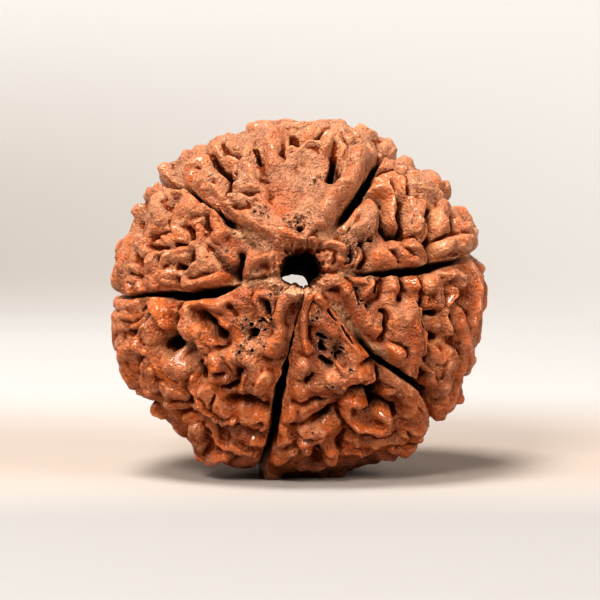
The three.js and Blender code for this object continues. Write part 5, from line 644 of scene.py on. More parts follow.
    plate(0.5, 0, -9.9, 1.2, -9.5, 0.9), plate(0.5, 0, -10.5, 3.2, -10.0, 3.0, -10.0, 3.5),
    ridge(0.4, 0, -11.2, 2.7, -11.3, 2.1), plate(0.4, 0, -10.9, 2.0, -10.9, 1.4),
    ridge(0.36, 0.05, -11.1, 0.8, -11.1, 0.4), ridge(0.36, 0, -10.6, 0.8, -10.2, 0.6),
    furrow(0.14, 0.6, -8.75, 6.9, -8.75, 6.2, -8.6, 5.7),
    furrow(0.18, 0.8, -8.5, 5.1, -8.4, 4.5, -8.9, 4.3, -9.5, 4.1),
    furrow(0.14, 0.75, -6.2, 5.4, -6.35, 4.9, -6.0, 4.7, -5.9, 4.3),
    furrow(0.16, 1.0, -7.25, 4.8, -7.1, 4.3, -7.25, 3.6),
    furrow(0.14, 0.75, -9.6, 3.5, -9.2, 3.2, -8.7, 3.2), furrow(0.13, 1.0, -8.0, 1.25, -8.0, 0.7),
    furrow(0.12, 0.65, -10.95, 1.6, -10.4, 1.2, -10.2, 0.8),
    furrow(0.17, 1.4, -4.05, 2.9, -4.1, 2.2, -4.25, 1.6),
    furrow(0.14, 0.7, -6.2, 4.2, -6.2, 3.7, -5.8, 3.3),
    furrow(0.17, 0.8, -5.7, 3.1, -5.4, 2.6, -4.9, 2.1, -4.6, 1.9),
    furrow(0.12, 0.7, -10.6, 2.9, -10.5, 2.5, -10.3, 2.0),
    furrow(0.12, 0.35, -7.6, 1.5, -6.8, 1.3, -5.9, 1.5, -5.2, 1.9),
]

# Out of the camera's sight, four broad knobs under the seed carry it.
RESTING_KNOBS = [[92, 265], [92, 277], [103, 264.5], [103.5, 277]]
for polar, turn in RESTING_KNOBS:
    line = [on_body(polar, turn + aside) for aside in (-2, 2)]
    strokes.append(stroke(line, 0.95, 0.35, FLAT, True))


def distance_to(line, points):
    least = np.full(len(points), np.inf)
    for start, end in zip(line[:-1], line[1:]):
        along = end - start
        share = np.clip((points - start) @ along / (along @ along), 0, 1)
        least = np.minimum(least, np.linalg.norm(points - start - share[:, None] * along, axis=1))
    return least


# The back and the sides aren't in the chart: there the relief follows a rule with a little chance in it.
CHANCE_FACTOR = 16807
CHANCE_RANGE = 2147483647
chance_state = 11


def chance(low, high):
    """The next of a fixed row of chance numbers, which are the same in each run and in the part."""
    global chance_state
    chance_state = (chance_state * CHANCE_FACTOR) % CHANCE_RANGE
    return low + (high - low) * chance_state / CHANCE_RANGE


IN_SIGHT = 0.28
CLEARANCE = 0.55
charted = list(strokes)


def is_charted(point):
    if facing(point) > IN_SIGHT:
        return True
    return any(distance_to(mark["line"], point[None])[0] < mark["half"] + CLEARANCE for mark in charted)


def wandering_line(polar, turn, length, heading, bend):
    line = [on_body(polar, turn)]
    ahead = 0.5 * length
    for _ in range(2):
        start = line[-1]
        polar += math.degrees(ahead * math.cos(math.radians(heading)) / np.linalg.norm(start - BORE_MIDDLE))
        turn += math.degrees(ahead * math.sin(math.radians(heading)) / from_bore(start))
        line.append(on_body(polar, turn))
        heading += bend
    return line


# Knobbed lips run along both sides of each cleft.
LIPS_START, LIPS_END = 84, 164
MEAN_RADIUS = 10
for cleft in clefts:
    for side in (-1, 1):
        polar = LIPS_START
        while polar < LIPS_END:
            length = chance(1.5, 2.6)
            out = chance(0.78, 0.95)
            half = chance(0.4, 0.55)
            level = chance(0.0, 0.25)
            middle = cleft_turn(cleft, polar)
            turn = middle + side * math.degrees(out / from_bore(on_body(polar, middle)))
            if not is_charted(on_body(polar, turn)):
                line = wandering_line(polar, turn, length, 0, chance(-15, 15))
                strokes.append(stroke(line, half, level, ROUND, True))
            polar += math.degrees((length + 2 * half) / MEAN_RADIUS)

# Between the lips ridges, plates, furrows and pits lie scattered, as evenly as seeds in a sunflower.
SCATTER = 620
GOLDEN_TURN = 137.508
LIP_REACH = 1.3
SCATTER_END = 168
PIT_SHARE = 0.1
FURROW_SHARE = 0.3
RIDGE_SHARE = 0.5
for i in range(SCATTER):
    polar = math.degrees(math.acos(1 - (2 * i + 1) / SCATTER))
    turn = i * GOLDEN_TURN
    length = chance(0.6, 2.2)
    heading = chance(0, 360)
    bend = chance(-60, 60)
    half = chance(0.36, 0.62)
    level = chance(-0.2, 0.2)
    kind = chance(0, 1)
    point = on_body(polar, turn)
    aways = [math.radians(turn - cleft_turn(cleft, polar)) for cleft in clefts]
    near_cleft = any(math.cos(a) > 0 and abs(math.sin(a)) * from_bore(point) < LIP_REACH for a in aways)
    if is_charted(point) or near_cleft or polar > SCATTER_END:
        continue
    line = wandering_line(polar, turn, length, heading, bend)
    if kind < PIT_SHARE:
        strokes.append(stroke(line, 0.6 * half, -1.2 - half, ROUND, False))
    elif kind < PIT_SHARE + FURROW_SHARE:
        strokes.append(stroke(line, 0.35 * half, -0.8 - half, FLAT, False))
    elif kind < 1 - RIDGE_SHARE:
        strokes.append(stroke(line, 1.2 * half, level, FLAT, True))
    else:
        strokes.append(stroke(line, half, level, ROUND, True))

# Finer marks that the part's coarser mesh leaves out: thin ridges, slits and small dark holes.
strokes += [
    pit(0.14, 0.8, -4.8, 9.7, -4.75, 9.6), pit(0.1, 0.9, 3.0, 9.85, 4.0, 9.85),
    ridge(0.26, 0.15, -4.8, 6.1, -4.6, 6.1), pit(0.12, 0.8, -4.3, 5.95, -3.5, 5.9),
    pit(0.2, 1.3, 4.6, 3.9, 4.7, 3.9), pit(0.14, 0.9, 3.35, 2.85, 3.45, 2.85),
    pit(0.18, 1.1, 4.5, -0.5, 4.5, -0.6), pit(0.12, 1.1, 8.0, -0.2, 7.95, -0.5),
    ridge(0.12, 0.05, 1.15, -2.7, 1.2, -3.4, 1.5, -3.9, 2.0, -3.95),
    pit(0.2, 1.1, 2.3, -3.95, 2.35, -4.05), pit(0.13, 0.9, 2.65, -3.8, 2.75, -3.8),
    pit(0.15, 0.9, 2.85, -3.4, 2.95, -3.4), pit(0.12, 0.9, 2.5, -3.35, 2.5, -3.45),
    ridge(0.12, 0.05, 2.3, -4.2, 2.7, -4.5, 2.85, -4.9), pit(0.12, 1.0, 5.8, -6.8, 5.3, -6.9),
    pit(0.22, 1.6, 3.6, -6.05, 4.2, -5.95, 4.9, -6.1),
    pit(0.24, 2.0, 4.9, -6.2, 4.75, -6.8, 4.9, -7.3, 4.6, -7.65, 4.2, -7.5),
    ridge(0.13, 0, -2.6, -0.9, -2.1, -1.3, -1.8, -1.6),
    pit(0.15, 0.8, -5.2, -5.95, -4.4, -5.7, -4.2, -5.4),
    ridge(0.14, 0.1, -5.6, -6.2, -5.6, -6.8, -5.5, -7.4), pit(0.13, 0.9, -2.5, -7.0, -2.4, -7.05),
    pit(0.1, 0.9, -3.0, -8.85, -2.0, -8.9), pit(0.15, 1.2, -7.1, -3.3, -6.95, -3.5),
    pit(0.11, 1.2, -7.35, -6.85, -7.15, -6.85), pit(0.18, 1.3, -10.7, -0.8, -10.4, -0.6),
    pit(0.12, 0.9, -11.0, -1.35, -10.8, -1.4), pit(0.11, 0.8, -7.2, 4.9, -7.2, 4.2),
    pit(0.12, 0.9, -6.1, 5.1, -6.0, 4.6), pit(0.25, 1.6, -4.2, 1.85, -4.2, 1.75),
    pit(0.18, 0.9, -4.2, 2.25, -4.2, 2.15), ridge(0.2, -0.1, -5.0, 2.9, -4.8, 2.9),
    ridge(0.24, -0.1, -4.6, 2.6, -4.4, 2.6), pit(0.2, 0.8, -10.6, 2.85, -10.6, 2.75),
    pit(0.14, 1.0, -10.15, 2.0, -10.25, 1.85), ridge(0.12, -0.1, 1.5, 2.0, 1.5, 2.8),
    pit(0.08, 1.3, 1.9, -0.75, 2.5, -1.5, 3.1, -2.25, 3.7, -2.95), ridge(0.12, -0.1, 2.0, 2.0, 2.0, 2.8),
]

# Pores in the spongy places, where the wood is a lace of thin strands: place on the chart, radius, depth.
PORES = [
    [1.43, -2.49, 0.13, 0.8], [1.49, -3.37, 0.17, 0.9], [2.06, -2.76, 0.07, 0.4], [2.72, -3.71, 0.11, 0.7],
    [1.9, -4.42, 0.12, 0.7], [2.38, -3.37, 0.08, 0.4], [3.26, -4.66, 0.07, 0.4], [1.16, -0.86, 0.09, 0.5],
    [1.09, -1.33, 0.1, 0.5], [0.81, -1.47, 0.07, 0.4], [1.56, -1.12, 0.06, 0.3], [2.2, -3.75, 0.08, 0.4],
    [1.75, -3.0, 0.06, 0.3], [2.6, -3.1, 0.07, 0.3], [2.1, -4.05, 0.07, 0.4], [2.95, -4.2, 0.06, 0.3],
    [0.07, 4.75, 0.2, 1.2], [-0.4, 5.4, 0.08, 0.4], [-0.68, 5.12, 0.08, 0.4], [-0.2, 5.66, 0.07, 0.4],
    [0.27, 5.46, 0.07, 0.4], [-0.81, 5.6, 0.07, 0.3], [-0.14, 5.25, 0.09, 0.5], [0.61, 5.73, 0.07, 0.3],
    [-0.54, 4.8, 0.07, 0.3], [-1.02, 5.25, 0.07, 0.3], [0.3, 5.05, 0.08, 0.4], [-0.3, 4.95, 0.07, 0.3],
    [-2.65, 5.87, 0.1, 0.5], [-2.4, 5.46, 0.1, 0.5], [-2.85, 5.52, 0.08, 0.4], [-2.2, 5.8, 0.07, 0.4],
    [-2.92, 6.07, 0.07, 0.4], [-2.05, 5.35, 0.06, 0.3], [0.95, 7.85, 0.08, 0.4], [1.3, 8.15, 0.06, 0.3],
    [0.6, 8.1, 0.06, 0.3], [0.2, 7.5, 0.07, 0.3], [-0.2, 7.6, 0.06, 0.3], [1.2, 7.5, 0.06, 0.3],
    [4.08, 3.62, 0.19, 1.1], [4.65, 3.94, 0.12, 0.9], [3.13, 3.83, 0.07, 0.3], [2.99, 3.49, 0.08, 0.4],
    [3.33, 3.35, 0.09, 0.4], [3.4, 2.88, 0.15, 0.9], [3.75, 3.4, 0.06, 0.3], [4.3, 4.3, 0.07, 0.3],
    [-2.92, -2.2, 0.22, 1.2], [-2.3, -3.1, 0.07, 0.5], [-1.63, -1.88, 0.07, 0.5], [-3.2, -1.74, 0.1, 0.5],
    [-2.65, -1.54, 0.08, 0.4], [-3.5, -1.4, 0.08, 0.4], [-3.33, -2.63, 0.09, 0.4], [-3.06, -3.37, 0.09, 0.5],
    [-2.17, -0.31, 0.17, 1.0], [-1.9, -1.4, 0.08, 0.4], [-2.24, -2.08, 0.08, 0.4], [-3.75, -1.95, 0.07, 0.3],
    [-2.6, -2.7, 0.07, 0.3], [-3.7, -3.0, 0.07, 0.3], [-3.9, -3.5, 0.08, 0.4], [-1.5, 0.43, 0.08, 0.4],
    [-1.83, 0.23, 0.06, 0.3], [-1.56, 0.84, 0.06, 0.3], [-1.2, 0.6, 0.06, 0.3], [3.8, 0.64, 0.1, 0.6],
    [4.48, -0.59, 0.1, 0.6], [3.8, -0.38, 0.09, 0.5], [3.5, 0.45, 0.07, 0.4], [4.15, -0.15, 0.07, 0.4],
    [-5.3, 2.6, 0.08, 0.4], [-4.8, 2.1, 0.07, 0.4], [-5.65, 3.1, 0.07, 0.4], [-4.9, 3.2, 0.07, 0.3],
    [1.8, -5.6, 0.08, 0.5], [2.05, -5.6, 0.07, 0.5], [0.85, -8.6, 0.07, 0.4], [0.6, -9.05, 0.07, 0.4],
]

# Sandy places near the bore and in sheltered hollows, where the woody skin is worn away.
sandy_places = [
    broad(0.6, 0.9, -4.3, 1.2, -1.2, 1.5), broad(0.6, 0.8, -4.5, 4.9, -2.0, 3.5),
    broad(0.5, 0.8, 1.5, 4.0, 3.0, 5.3), broad(0.5, 0.8, 2.4, 1.75, 4.5, 1.75),
    broad(0.45, 0.8, 2.3, -0.6, 5.4, -4.0), broad(0.8, 0.45, 0.2, 6.2, 0.2, 4.6),
    broad(0.4, 0.45, 2.2, -8.4, 2.3, -8.9), broad(0.45, 0.8, -7.9, -3.2, -7.4, -3.3),
    broad(0.6, 0.5, -3.6, -1.2, -3.3, -2.6), broad(0.7, 0.6, -1.2, 0.8, -0.5, 0.6),
]

# The skin starts as a flat grid, one column to a turn and one row to a polar angle. Columns crowd into
# the clefts, and rows on the front, where the finest relief is. Its last rows line the bore.
LOBE_COLUMNS = [150, 230, 140, 240, 190, 170]
CLEFT_COLUMNS = 14
CLEFT_MARGIN = 0.06
FRONT_ROWS = 330
BACK_ROWS = 190
BORE_ROWS = 36
RIM_POLAR = 98
MOUTH_RADIUS = 1.45
columns = sum(LOBE_COLUMNS)
surface_rows = FRONT_ROWS + BACK_ROWS + 1
rows = surface_rows + BORE_ROWS
mouth_polar = math.degrees(math.asin(MOUTH_RADIUS / HALF_SIZES[1]))
polars = np.concatenate([
    np.linspace(mouth_polar, RIM_POLAR, FRONT_ROWS, endpoint=False),
    np.linspace(RIM_POLAR, 180 - mouth_polar, BACK_ROWS + 1),
])
lip_shares = np.sin(np.linspace(0, math.pi / 2, CLEFT_COLUMNS + 1))
turns = []
for i, cleft in enumerate(clefts):
    next_cleft = clefts[(i + 1) % len(clefts)]
    start = cleft_turn(cleft, polars)
    end = cleft_turn(next_cleft, polars) + (360 if i == len(clefts) - 1 else 0)
    radius = from_bore(on_body(polars, start))
    start_lip, end_lip = (
        np.minimum(np.degrees((cleft_size(slot, polars, 0) + CLEFT_MARGIN) / radius), (end - start) / 5)
        for slot in (cleft, next_cleft)
    )
    between = np.linspace(0, 1, LOBE_COLUMNS[i] - 2 * CLEFT_COLUMNS + 1)[1:-1]
    for share in lip_shares:
        turns.append(start + share * start_lip)
    for share in between:
        turns.append(start + start_lip + share * (end - end_lip - start - start_lip))
    for share in lip_shares[:0:-1]:
        turns.append(end - share * end_lip)
turns = np.stack(turns, axis=1)
polar_grid = np.broadcast_to(polars[:, None], turns.shape)
smooth_body = on_body(polar_grid, turns).reshape(-1, 3)
polar_flat, turn_flat = polar_grid.reshape(-1), turns.reshape(-1)
bore_away = from_bore(smooth_body)


def swell(points, size, phase):
    """An uneven swell from -1 to 1, with hills about that size apart."""
    k = 2 * math.pi / size
    x, y, z = points.T
    a = np.sin(0.83 * k * x + 1.3 * np.sin(0.61 * k * z + phase))
    b = np.sin(0.77 * k * y + 1.3 * np.sin(0.57 * k * x + 2 * phase))
    c = np.sin(0.71 * k * z + 1.3 * np.sin(0.67 * k * y + 3 * phase))
    return (a + b + c) / 3


def layered(*layers):
    """Swells over the whole body, added up: each has a height, a size and a phase."""
    return sum(tall * swell(smooth_body, size, phase) for tall, size, phase in layers)


def shift(size, *phases):
    """A swell in each of the three directions over the whole body."""
    return np.stack([swell(smooth_body, size, phase) for phase in phases], axis=1)


def near_mouth(start, width):
    """0 past the start, a distance from the bore, and rising to 1 within the width."""
    return np.clip((start - bore_away) / width, 0, 1)


def fading(distance, width):
    """1 at no distance, and fading softly over the width."""
    return np.exp(-((distance / width) ** 2))


BLEND = 0.28


def melt(a, b):
    """The higher of two heights, with a soft joint between them."""
    return np.maximum(a, b) + np.maximum(0, BLEND - np.abs(a - b)) ** 2 / (4 * BLEND)


def carve(a, b):
    return -melt(-a, -b)


# The skin between the strokes lies at this level.
FLOOR_LEVEL = -0.48


def raised_at(share, level, edge):
    """The height of a raised stroke, which swells softly out of that level."""
    return FLOOR_LEVEL + (level - FLOOR_LEVEL) / (1 + share**edge)


def sunk_at(share, brim, level):
    """The height of a pit or a cleft, which has steep walls."""
    inside = brim + (level - brim) * np.sqrt(np.maximum(0, 1 - share**2))
    return np.where(share >= 1, brim - (share - 1) * (level - brim) * 2, inside)


# The height of the relief over the whole grid, stroke by stroke, the raised ones first. They sway and
# shiver a little, their width changes along the way, and the skin round a sunk one sinks with it.
WANDER = 0.2
SHIVER = 0.1
SKIRT = 0.2
SKIRT_REACH = 0.65
PIT_BRIM = 0.3
RAISED_REACH = 2.6
TOP_SHARE = 1.5
NOWHERE = -9
moved = smooth_body + WANDER * shift(2.3, 1, 2, 3) + SHIVER * shift(0.9, 11, 12, 13)
wider = 1 + layered((0.13, 1.7, 4))
lumps = layered((0.09, 0.9, 5))
height = FLOOR_LEVEL + layered((0.2, 3.1, 6)) + lumps
highest, second = height.copy(), height + NOWHERE
roundness = np.zeros(len(height))
for mark in sorted(strokes, key=lambda mark: not mark["raised"]):
    around = RAISED_REACH * mark["half"] if mark["raised"] else 2 * SKIRT_REACH + mark["half"]
    low = mark["line"].min(0) - around
    high = mark["line"].max(0) + around
    near = np.flatnonzero(((moved > low) & (moved < high)).all(axis=1))
    share = distance_to(mark["line"], moved[near]) / (mark["half"] * wider[near])
    if mark["raised"]:
        risen = raised_at(share, mark["level"] + lumps[near], mark["edge"])
        height[near] = melt(height[near], risen)
        own = np.where(share < TOP_SHARE, risen, NOWHERE)
        second[near] = np.maximum(second[near], np.minimum(own, highest[near]))
        highest[near] = np.maximum(highest[near], own)
        if mark["edge"] == ROUND:
            roundness[near] = np.maximum(roundness[near], np.clip(1.2 - share, 0, 1))
    else:
        height[near] += SKIRT * mark["level"] * fading(share * mark["half"], SKIRT_REACH)
        if mark["edge"] == ROUND:
            height[near] = carve(height[near], sunk_at(share, PIT_BRIM, mark["level"]))
        else:
            height[near] += np.minimum(0, mark["level"] - height[near]) / (1 + share**3)

# Where two strokes meet there is a hairline crease, which the part's coarser mesh can't hold. Small
# puckers wrinkle the skin, less so on the round ridges, and round the mouth it crumbles.
CREASE_DEPTH = 0.13
CREASE_SHARPNESS = 0.08
creased = fading(highest - second, CREASE_SHARPNESS) * np.clip((second - FLOOR_LEVEL) / 0.3, 0, 1)
creased *= np.clip(0.5 + layered((0.9, 1.9, 31)), 0.1, 1)
height -= CREASE_DEPTH * creased
puckers = 0.1 * np.abs(swell(moved, 1.3, 21)) + 0.05 * np.abs(swell(moved, 0.6, 22)) - 0.04
height += puckers * (1 - 0.4 * roundness)
height += near_mouth(2.6, 0.9) * layered((0.2, 0.6, 24), (0.14, 0.29, 25))

# Each pore has a low rim round a steep hole, and its outline is torn.
PORE_TEAR = 0.09
PORE_REACH = 8
PORE_RIM = 0.12
RIM_SHARE = 1.4
torn = smooth_body + PORE_TEAR * shift(0.37, 41, 42, 43)
spongy = np.zeros(len(height))
for u, v, radius, depth in PORES:
    middle = from_chart([u, v])[0]
    near = np.flatnonzero((np.abs(torn - middle) < PORE_REACH * radius).all(axis=1))
    share = np.linalg.norm(torn[near] - middle, axis=1) / radius
    spongy[near] = np.maximum(spongy[near], fading(share, 4))
    height[near] += PORE_RIM * np.exp(-((share - RIM_SHARE) ** 2) / 0.2) - depth / (1 + share**6)


def built_up(forms):
    """What broad forms add over the whole body."""
    return sum(form["rise"] * fading(distance_to(form["line"], moved), form["size"]) for form in forms)


# The relief is calmer towards the seed's outline. The clefts are cut last, with ragged walls.
SIDE_RELIEF = 0.68
VALLEY_REACH = 0.9
CLEFT_BRIM = 0.4
FIBRE_REACH = 1.2
height += built_up(broad_forms)
height *= SIDE_RELIEF + (1 - SIDE_RELIEF) * np.clip(facing(smooth_body) / 0.5, 0, 1)
sandy = np.clip(2.4 - bore_away, 0, 0.8) + built_up(sandy_places)
ragged = layered((0.07, 1.1, 9), (0.05, 0.5, 10))
in_cleft = np.zeros(len(height))
fibre = np.zeros((len(height), 2))
for cleft in clefts:
    away = np.radians(turn_flat - cleft_turn(cleft, polar_flat))
    across = np.where(np.cos(away) > 0, np.abs(np.sin(away)) * bore_away, 99)
    across = np.abs(across + ragged)
    share = across / cleft_size(cleft, polar_flat, 0)
    height -= cleft_size(cleft, polar_flat, 2) * fading(across, VALLEY_REACH)
    cut = carve(height, sunk_at(share, CLEFT_BRIM, -cleft_size(cleft, polar_flat, 1)))
    height = np.where(share < 3, cut, height)
    lining = across < FIBRE_REACH
    fibre[lining, 0], fibre[lining, 1] = bore_away[lining], across[lining]
    in_cleft = np.maximum(in_cleft, np.clip(1.3 - share, 0, 1))
sandy_grit = np.clip(sandy, 0, 1) * np.clip(2 - in_cleft * 2, 0, 1)
height += sandy_grit * layered((0.07, 0.43, 26), (0.06, 0.24, 27))

RELIEF = 1.45
MOUTH_ROUNDING = 0.6
height = RELIEF * height - MOUTH_ROUNDING * near_mouth(2, 0.6) ** 2
surface = (smooth_body + outward_of(smooth_body) * height[:, None]).reshape(surface_rows, columns, 3)

# The bore joins the back mouth to the front mouth, column by column. It is uneven all the way, and its
# front rim is torn.
BORE_RADIUS = 1.12
forward = (0.5 - 0.5 * np.cos(np.pi * np.arange(1, BORE_ROWS + 1) / (BORE_ROWS + 1)))[:, None]
bore_y = surface[-1, :, 1] + forward * (surface[0, :, 1] - surface[-1, :, 1])
bore_turn = np.radians(turns[-1] + forward * (turns[0] - turns[-1]))
bore_radius = BORE_RADIUS
for size, along, turning in ((0.05, 1.1, 2), (0.03, 3.7, -3)):
    bore_radius = bore_radius + size * np.sin(along * bore_y + turning * bore_turn)
bore_radius += 0.04 * np.sin(7 * bore_turn + 2.1 * bore_y) * np.sin(4.3 * bore_y + 3 * bore_turn)
torn_rim = ((0.13, 2, 1), (0.07, 5, 2.3), (0.02, 11, 0))
bore_radius += sum(size * np.sin(waves * bore_turn + phase) for size, waves, phase in torn_rim) * forward**3
bore = np.stack([bore_radius * np.cos(bore_turn), bore_y, bore_radius * np.sin(bore_turn)], axis=-1)
bore += BORE_MIDDLE * [1, 0, 1]
skin = np.concatenate([surface, bore]) @ from_body + BODY_CENTRE
skin[..., 2] = np.maximum(skin[..., 2], 0)


def softened(grid, rounds):
    """A grid of values with each made the mean of its four neighbours, over and over."""
    for _ in range(rounds):
        grid = 0.25 * sum(np.roll(grid, step, axis) for axis in (0, 1) for step in (1, -1))
    return grid


def with_bore(values, bore_value):
    return np.concatenate([values.reshape(surface_rows, columns), np.full((BORE_ROWS, columns), bore_value)])


# The skin carries what the wood's paint goes by: its height, and how far it stands out from means over
# narrower and wider surroundings.
height_grid = with_bore(height, -1.5)
fine_mean = softened(height_grid, 10)
crest_mean = softened(fine_mean, 60)
broad_mean = softened(crest_mean, 360)
traits = {
    "height": height_grid,
    "crease": fine_mean - height_grid,
    "crest": height_grid - crest_mean,
    "rise": height_grid - broad_mean,
    "roundness": with_bore(roundness, 0.0),
    "from_bore": with_bore(bore_away, 1.1),
    "sandy": with_bore(sandy, 0.3),
    "spongy": with_bore(np.minimum(spongy, 1), 0.0),
    "along_cleft": with_bore(fibre[:, 0], 0.0),
    "across_cleft": with_bore(fibre[:, 1], 9.0),
}
sheet = bmesh.new()
bmesh.ops.create_grid(sheet, x_segments=columns, y_segments=rows, size=0.5)
seed_mesh = bpy.data.meshes.new("seed_skin")
sheet.to_mesh(seed_mesh)
sheet.free()
flat = np.empty(len(seed_mesh.vertices) * 3, np.float32)
seed_mesh.vertices.foreach_get("co", flat)
flat = flat.reshape(-1, 3)
column_of = np.rint((flat[:, 0] + 0.5) * columns).astype(int) % columns
row_of = np.rint((flat[:, 1] + 0.5) * rows).astype(int) % rows
seed_mesh.vertices.foreach_set("co", (skin[row_of, column_of] * MM).astype(np.float32).ravel())
for trait, grid in traits.items():
    layer = seed_mesh.attributes.new(trait, "FLOAT", "POINT")
    layer.data.foreach_set("value", grid[row_of, column_of].astype(np.float32))

# The grid's edges are joined, which closes the skin, and then it is thinned evenly.
TRIANGLES = 196000
skin_edit = bmesh.new()
skin_edit.from_mesh(seed_mesh)
seams = [vert for vert in skin_edit.verts if vert.is_boundary]
bmesh.ops.remove_doubles(skin_edit, verts=seams, dist=1e-9)
if skin_edit.calc_volume(signed=True) < 0:
    bmesh.ops.reverse_faces(skin_edit, faces=skin_edit.faces)
skin_edit.to_mesh(seed_mesh)
skin_edit.free()
seed_mesh.polygons.foreach_set("use_smooth", np.ones(len(seed_mesh.polygons), bool))

seed = bpy.data.objects.new("seed_skin", seed_mesh)
bpy.context.scene.collection.objects.link(seed)
thin = seed.modifiers.new("thin", "DECIMATE")
thin.ratio = TRIANGLES / (2 * len(seed_mesh.polygons))
bpy.context.view_layer.update()
thinned = bpy.data.meshes.new_from_object(seed.evaluated_get(bpy.context.evaluated_depsgraph_get()))
seed.modifiers.clear()
seed.data = thinned
bpy.data.meshes.remove(seed_mesh)
thinned.name = "seed_skin"

# The finest lumps are pressed in softly where they would stand out past the part's own size.
PRESS_REACH = 0.0004
corners = np.empty(len(thinned.vertices) * 3, np.float32)
thinned.vertices.foreach_get("co", corners)
corners = corners.reshape(-1, 3)
centre_of_part = (np.array(cad_low) + np.array(cad_high)) / 2
free_reach = (np.array(cad_high) - np.array(cad_low)) / 2 - PRESS_REACH
off_centre = corners - centre_of_part
past = np.maximum(np.abs(off_centre) - free_reach, 0)
pressed = np.minimum(np.abs(off_centre), free_reach) + PRESS_REACH * (1 - np.exp(-past / PRESS_REACH))
pressed = centre_of_part + np.sign(off_centre) * pressed
corners[:, :2] = pressed[:, :2]
corners[:, 2] = np.where(off_centre[:, 2] > 0, pressed[:, 2], np.maximum(corners[:, 2], 0))
thinned.vertices.foreach_set("co", corners.ravel())

# The wood: waxy orange-brown on the crests, dusty and paler on the flanks, cream near the bore, and painted
# nearly black in the deep clefts and pits as shade.
PALE_SKIN = (0.385, 0.188, 0.108, 1)
BROWN_SKIN = (0.38, 0.09, 0.022, 1)
RED_SKIN = (0.32, 0.06, 0.022, 1)
WAXY = (0.37, 0.066, 0.004, 1)
CREAM = (0.56, 0.29, 0.16, 1)
BRIGHT_SAND = (0.9, 0.46, 0.26, 1)
BRICK_GRAIN_AND_SHADE = (0.16, 0.026, 0.003, 1)
PAINTED_DARK_SHADE = (0.025, 0.006, 0.002, 1)
GREY_BLOOM = (0.48, 0.255, 0.16, 1)
WORN_AND_LIT_EDGE = (0.6, 0.3, 0.15, 1)
FLANK_DUST = (0.42, 0.168, 0.092, 1)
OLIVE_FIBRE = (0.42, 0.19, 0.085, 1)
BORE_SHADE = (0.05, 0.02, 0.008, 1)
wood = bpy.data.materials.new("seed_wood")
wood.use_nodes = True
tree = wood.node_tree
shader = tree.nodes["Principled BSDF"]
place = node("ShaderNodeTexCoord").outputs["Object"]
up = node("ShaderNodeSeparateXYZ", Vector=place).outputs["Z"]


def plus(a, b):
    return node("ShaderNodeMath", {"operation": "ADD"}, _0=a, _1=b).outputs[0]


def less(value, other, share):
    """A value less a share of another one."""
    return plus(value, times(other, -share))


def grain(size, detail=3.0, roughness=0.55):
    """Noise from 0 to 1 with spots of about that size in millimetres."""
    noise = node("ShaderNodeTexNoise", Vector=place, Scale=1000 / size, Detail=detail, Roughness=roughness)
    return noise.outputs["Fac"]


def trait_of(name):
    return node("ShaderNodeAttribute", {"attribute_name": name}).outputs["Fac"]


level = trait_of("height")
crease = trait_of("crease")
crest = trait_of("crest")
rise = trait_of("rise")
bore_distance = trait_of("from_bore")
spongy_share = trait_of("spongy")
across_cleft = trait_of("across_cleft")

# The upper lobes are paler towards the top, and handling has polished the crests, mostly on the lower ones.
upper_paleness = ramp(plus(times(up, 45.0), plus(times(grain(2.6), 1.2), times(grain(0.7), 0.5))), 1.0, 1.85)
colour = tinted(BROWN_SKIN, PALE_SKIN, upper_paleness)
colour = tinted(colour, RED_SKIN, times(ramp(grain(3.0), 0.48, 0.62), less(0.7, upper_paleness, 0.45)))
on_crest = times(ramp(crest, -0.04, 0.14), plus(0.4, times(ramp(trait_of("roundness"), 0.0, 0.4), 0.6)))
polish = times(on_crest, ramp(grain(1.1), 0.28, 0.48), less(1.0, upper_paleness, 0.5))
colour = tinted(colour, WAXY, times(polish, 0.95))
bloom = times(ramp(grain(0.4, 4.0, 0.65), 0.48, 0.68), less(0.45, polish, 0.42))
colour = tinted(colour, GREY_BLOOM, times(bloom, ramp(grain(1.9), 0.35, 0.6)))
dull_flank = times(less(1.0, polish, 1.0), ramp(grain(1.3, 4.0), 0.42, 0.62))
colour = tinted(colour, FLANK_DUST, times(dull_flank, less(0.6, upper_paleness, 0.35)))

# Sand lies near the mouth and in the sandy places, but not on the crests and not on the mouth's upper lip.
# Ridges are pale at their creases, partly from wear and partly as a painted highlight, and brick red is
# painted into the hollows as shade.
sandy_here = less(trait_of("sandy"), times(on_crest, ramp(bore_distance, 1.3, 1.7)), 0.45)
upper_lip = times(ramp(up, 0.0124, 0.0134), ramp(bore_distance, 2.7, 2.2))
sandy_here = less(sandy_here, upper_lip, 0.7)
sand = ramp(plus(sandy_here, plus(times(grain(0.5), 0.9), -0.45)), 0.15, 0.75)
colour = tinted(colour, CREAM, times(sand, 0.95))
colour = tinted(colour, BRIGHT_SAND, times(sand, ramp(bore_distance, 4.6, 2.6), 0.75))
rough_skin = less(1.0, polish, 0.8)
# Pale rims on the ridges: partly wear, partly a painted highlight.
worn_and_lit_rim = times(ramp(crease, -0.015, -0.07), rough_skin)
colour = tinted(colour, WORN_AND_LIT_EDGE, times(worn_and_lit_rim, 0.42))
# Painted shade: brick red darkens the creases, the low places and the hollows.
crease_shade = times(ramp(crease, 0.02, 0.14), 0.7)
low_shade = times(ramp(rise, 0.15, -0.6), 0.6)
hollow_shade = plus(ramp(crest, 0.04, -0.25), plus(crease_shade, low_shade))
colour = tinted(colour, BRICK_GRAIN_AND_SHADE, times(ramp(hollow_shade, 0.2, 1.2), less(1.0, sand, 0.9)))

# The unpolished skin is gritty, with dark and pale grains.
gritty = times(rough_skin, plus(0.25, times(ramp(grain(1.6), 0.38, 0.6), 0.75)))
colour = tinted(colour, BRICK_GRAIN_AND_SHADE, times(ramp(grain(0.12, 2.0), 0.54, 0.4), 0.38, gritty))
colour = tinted(colour, GREY_BLOOM, times(ramp(grain(0.15, 2.0), 0.55, 0.68), 0.5, gritty))

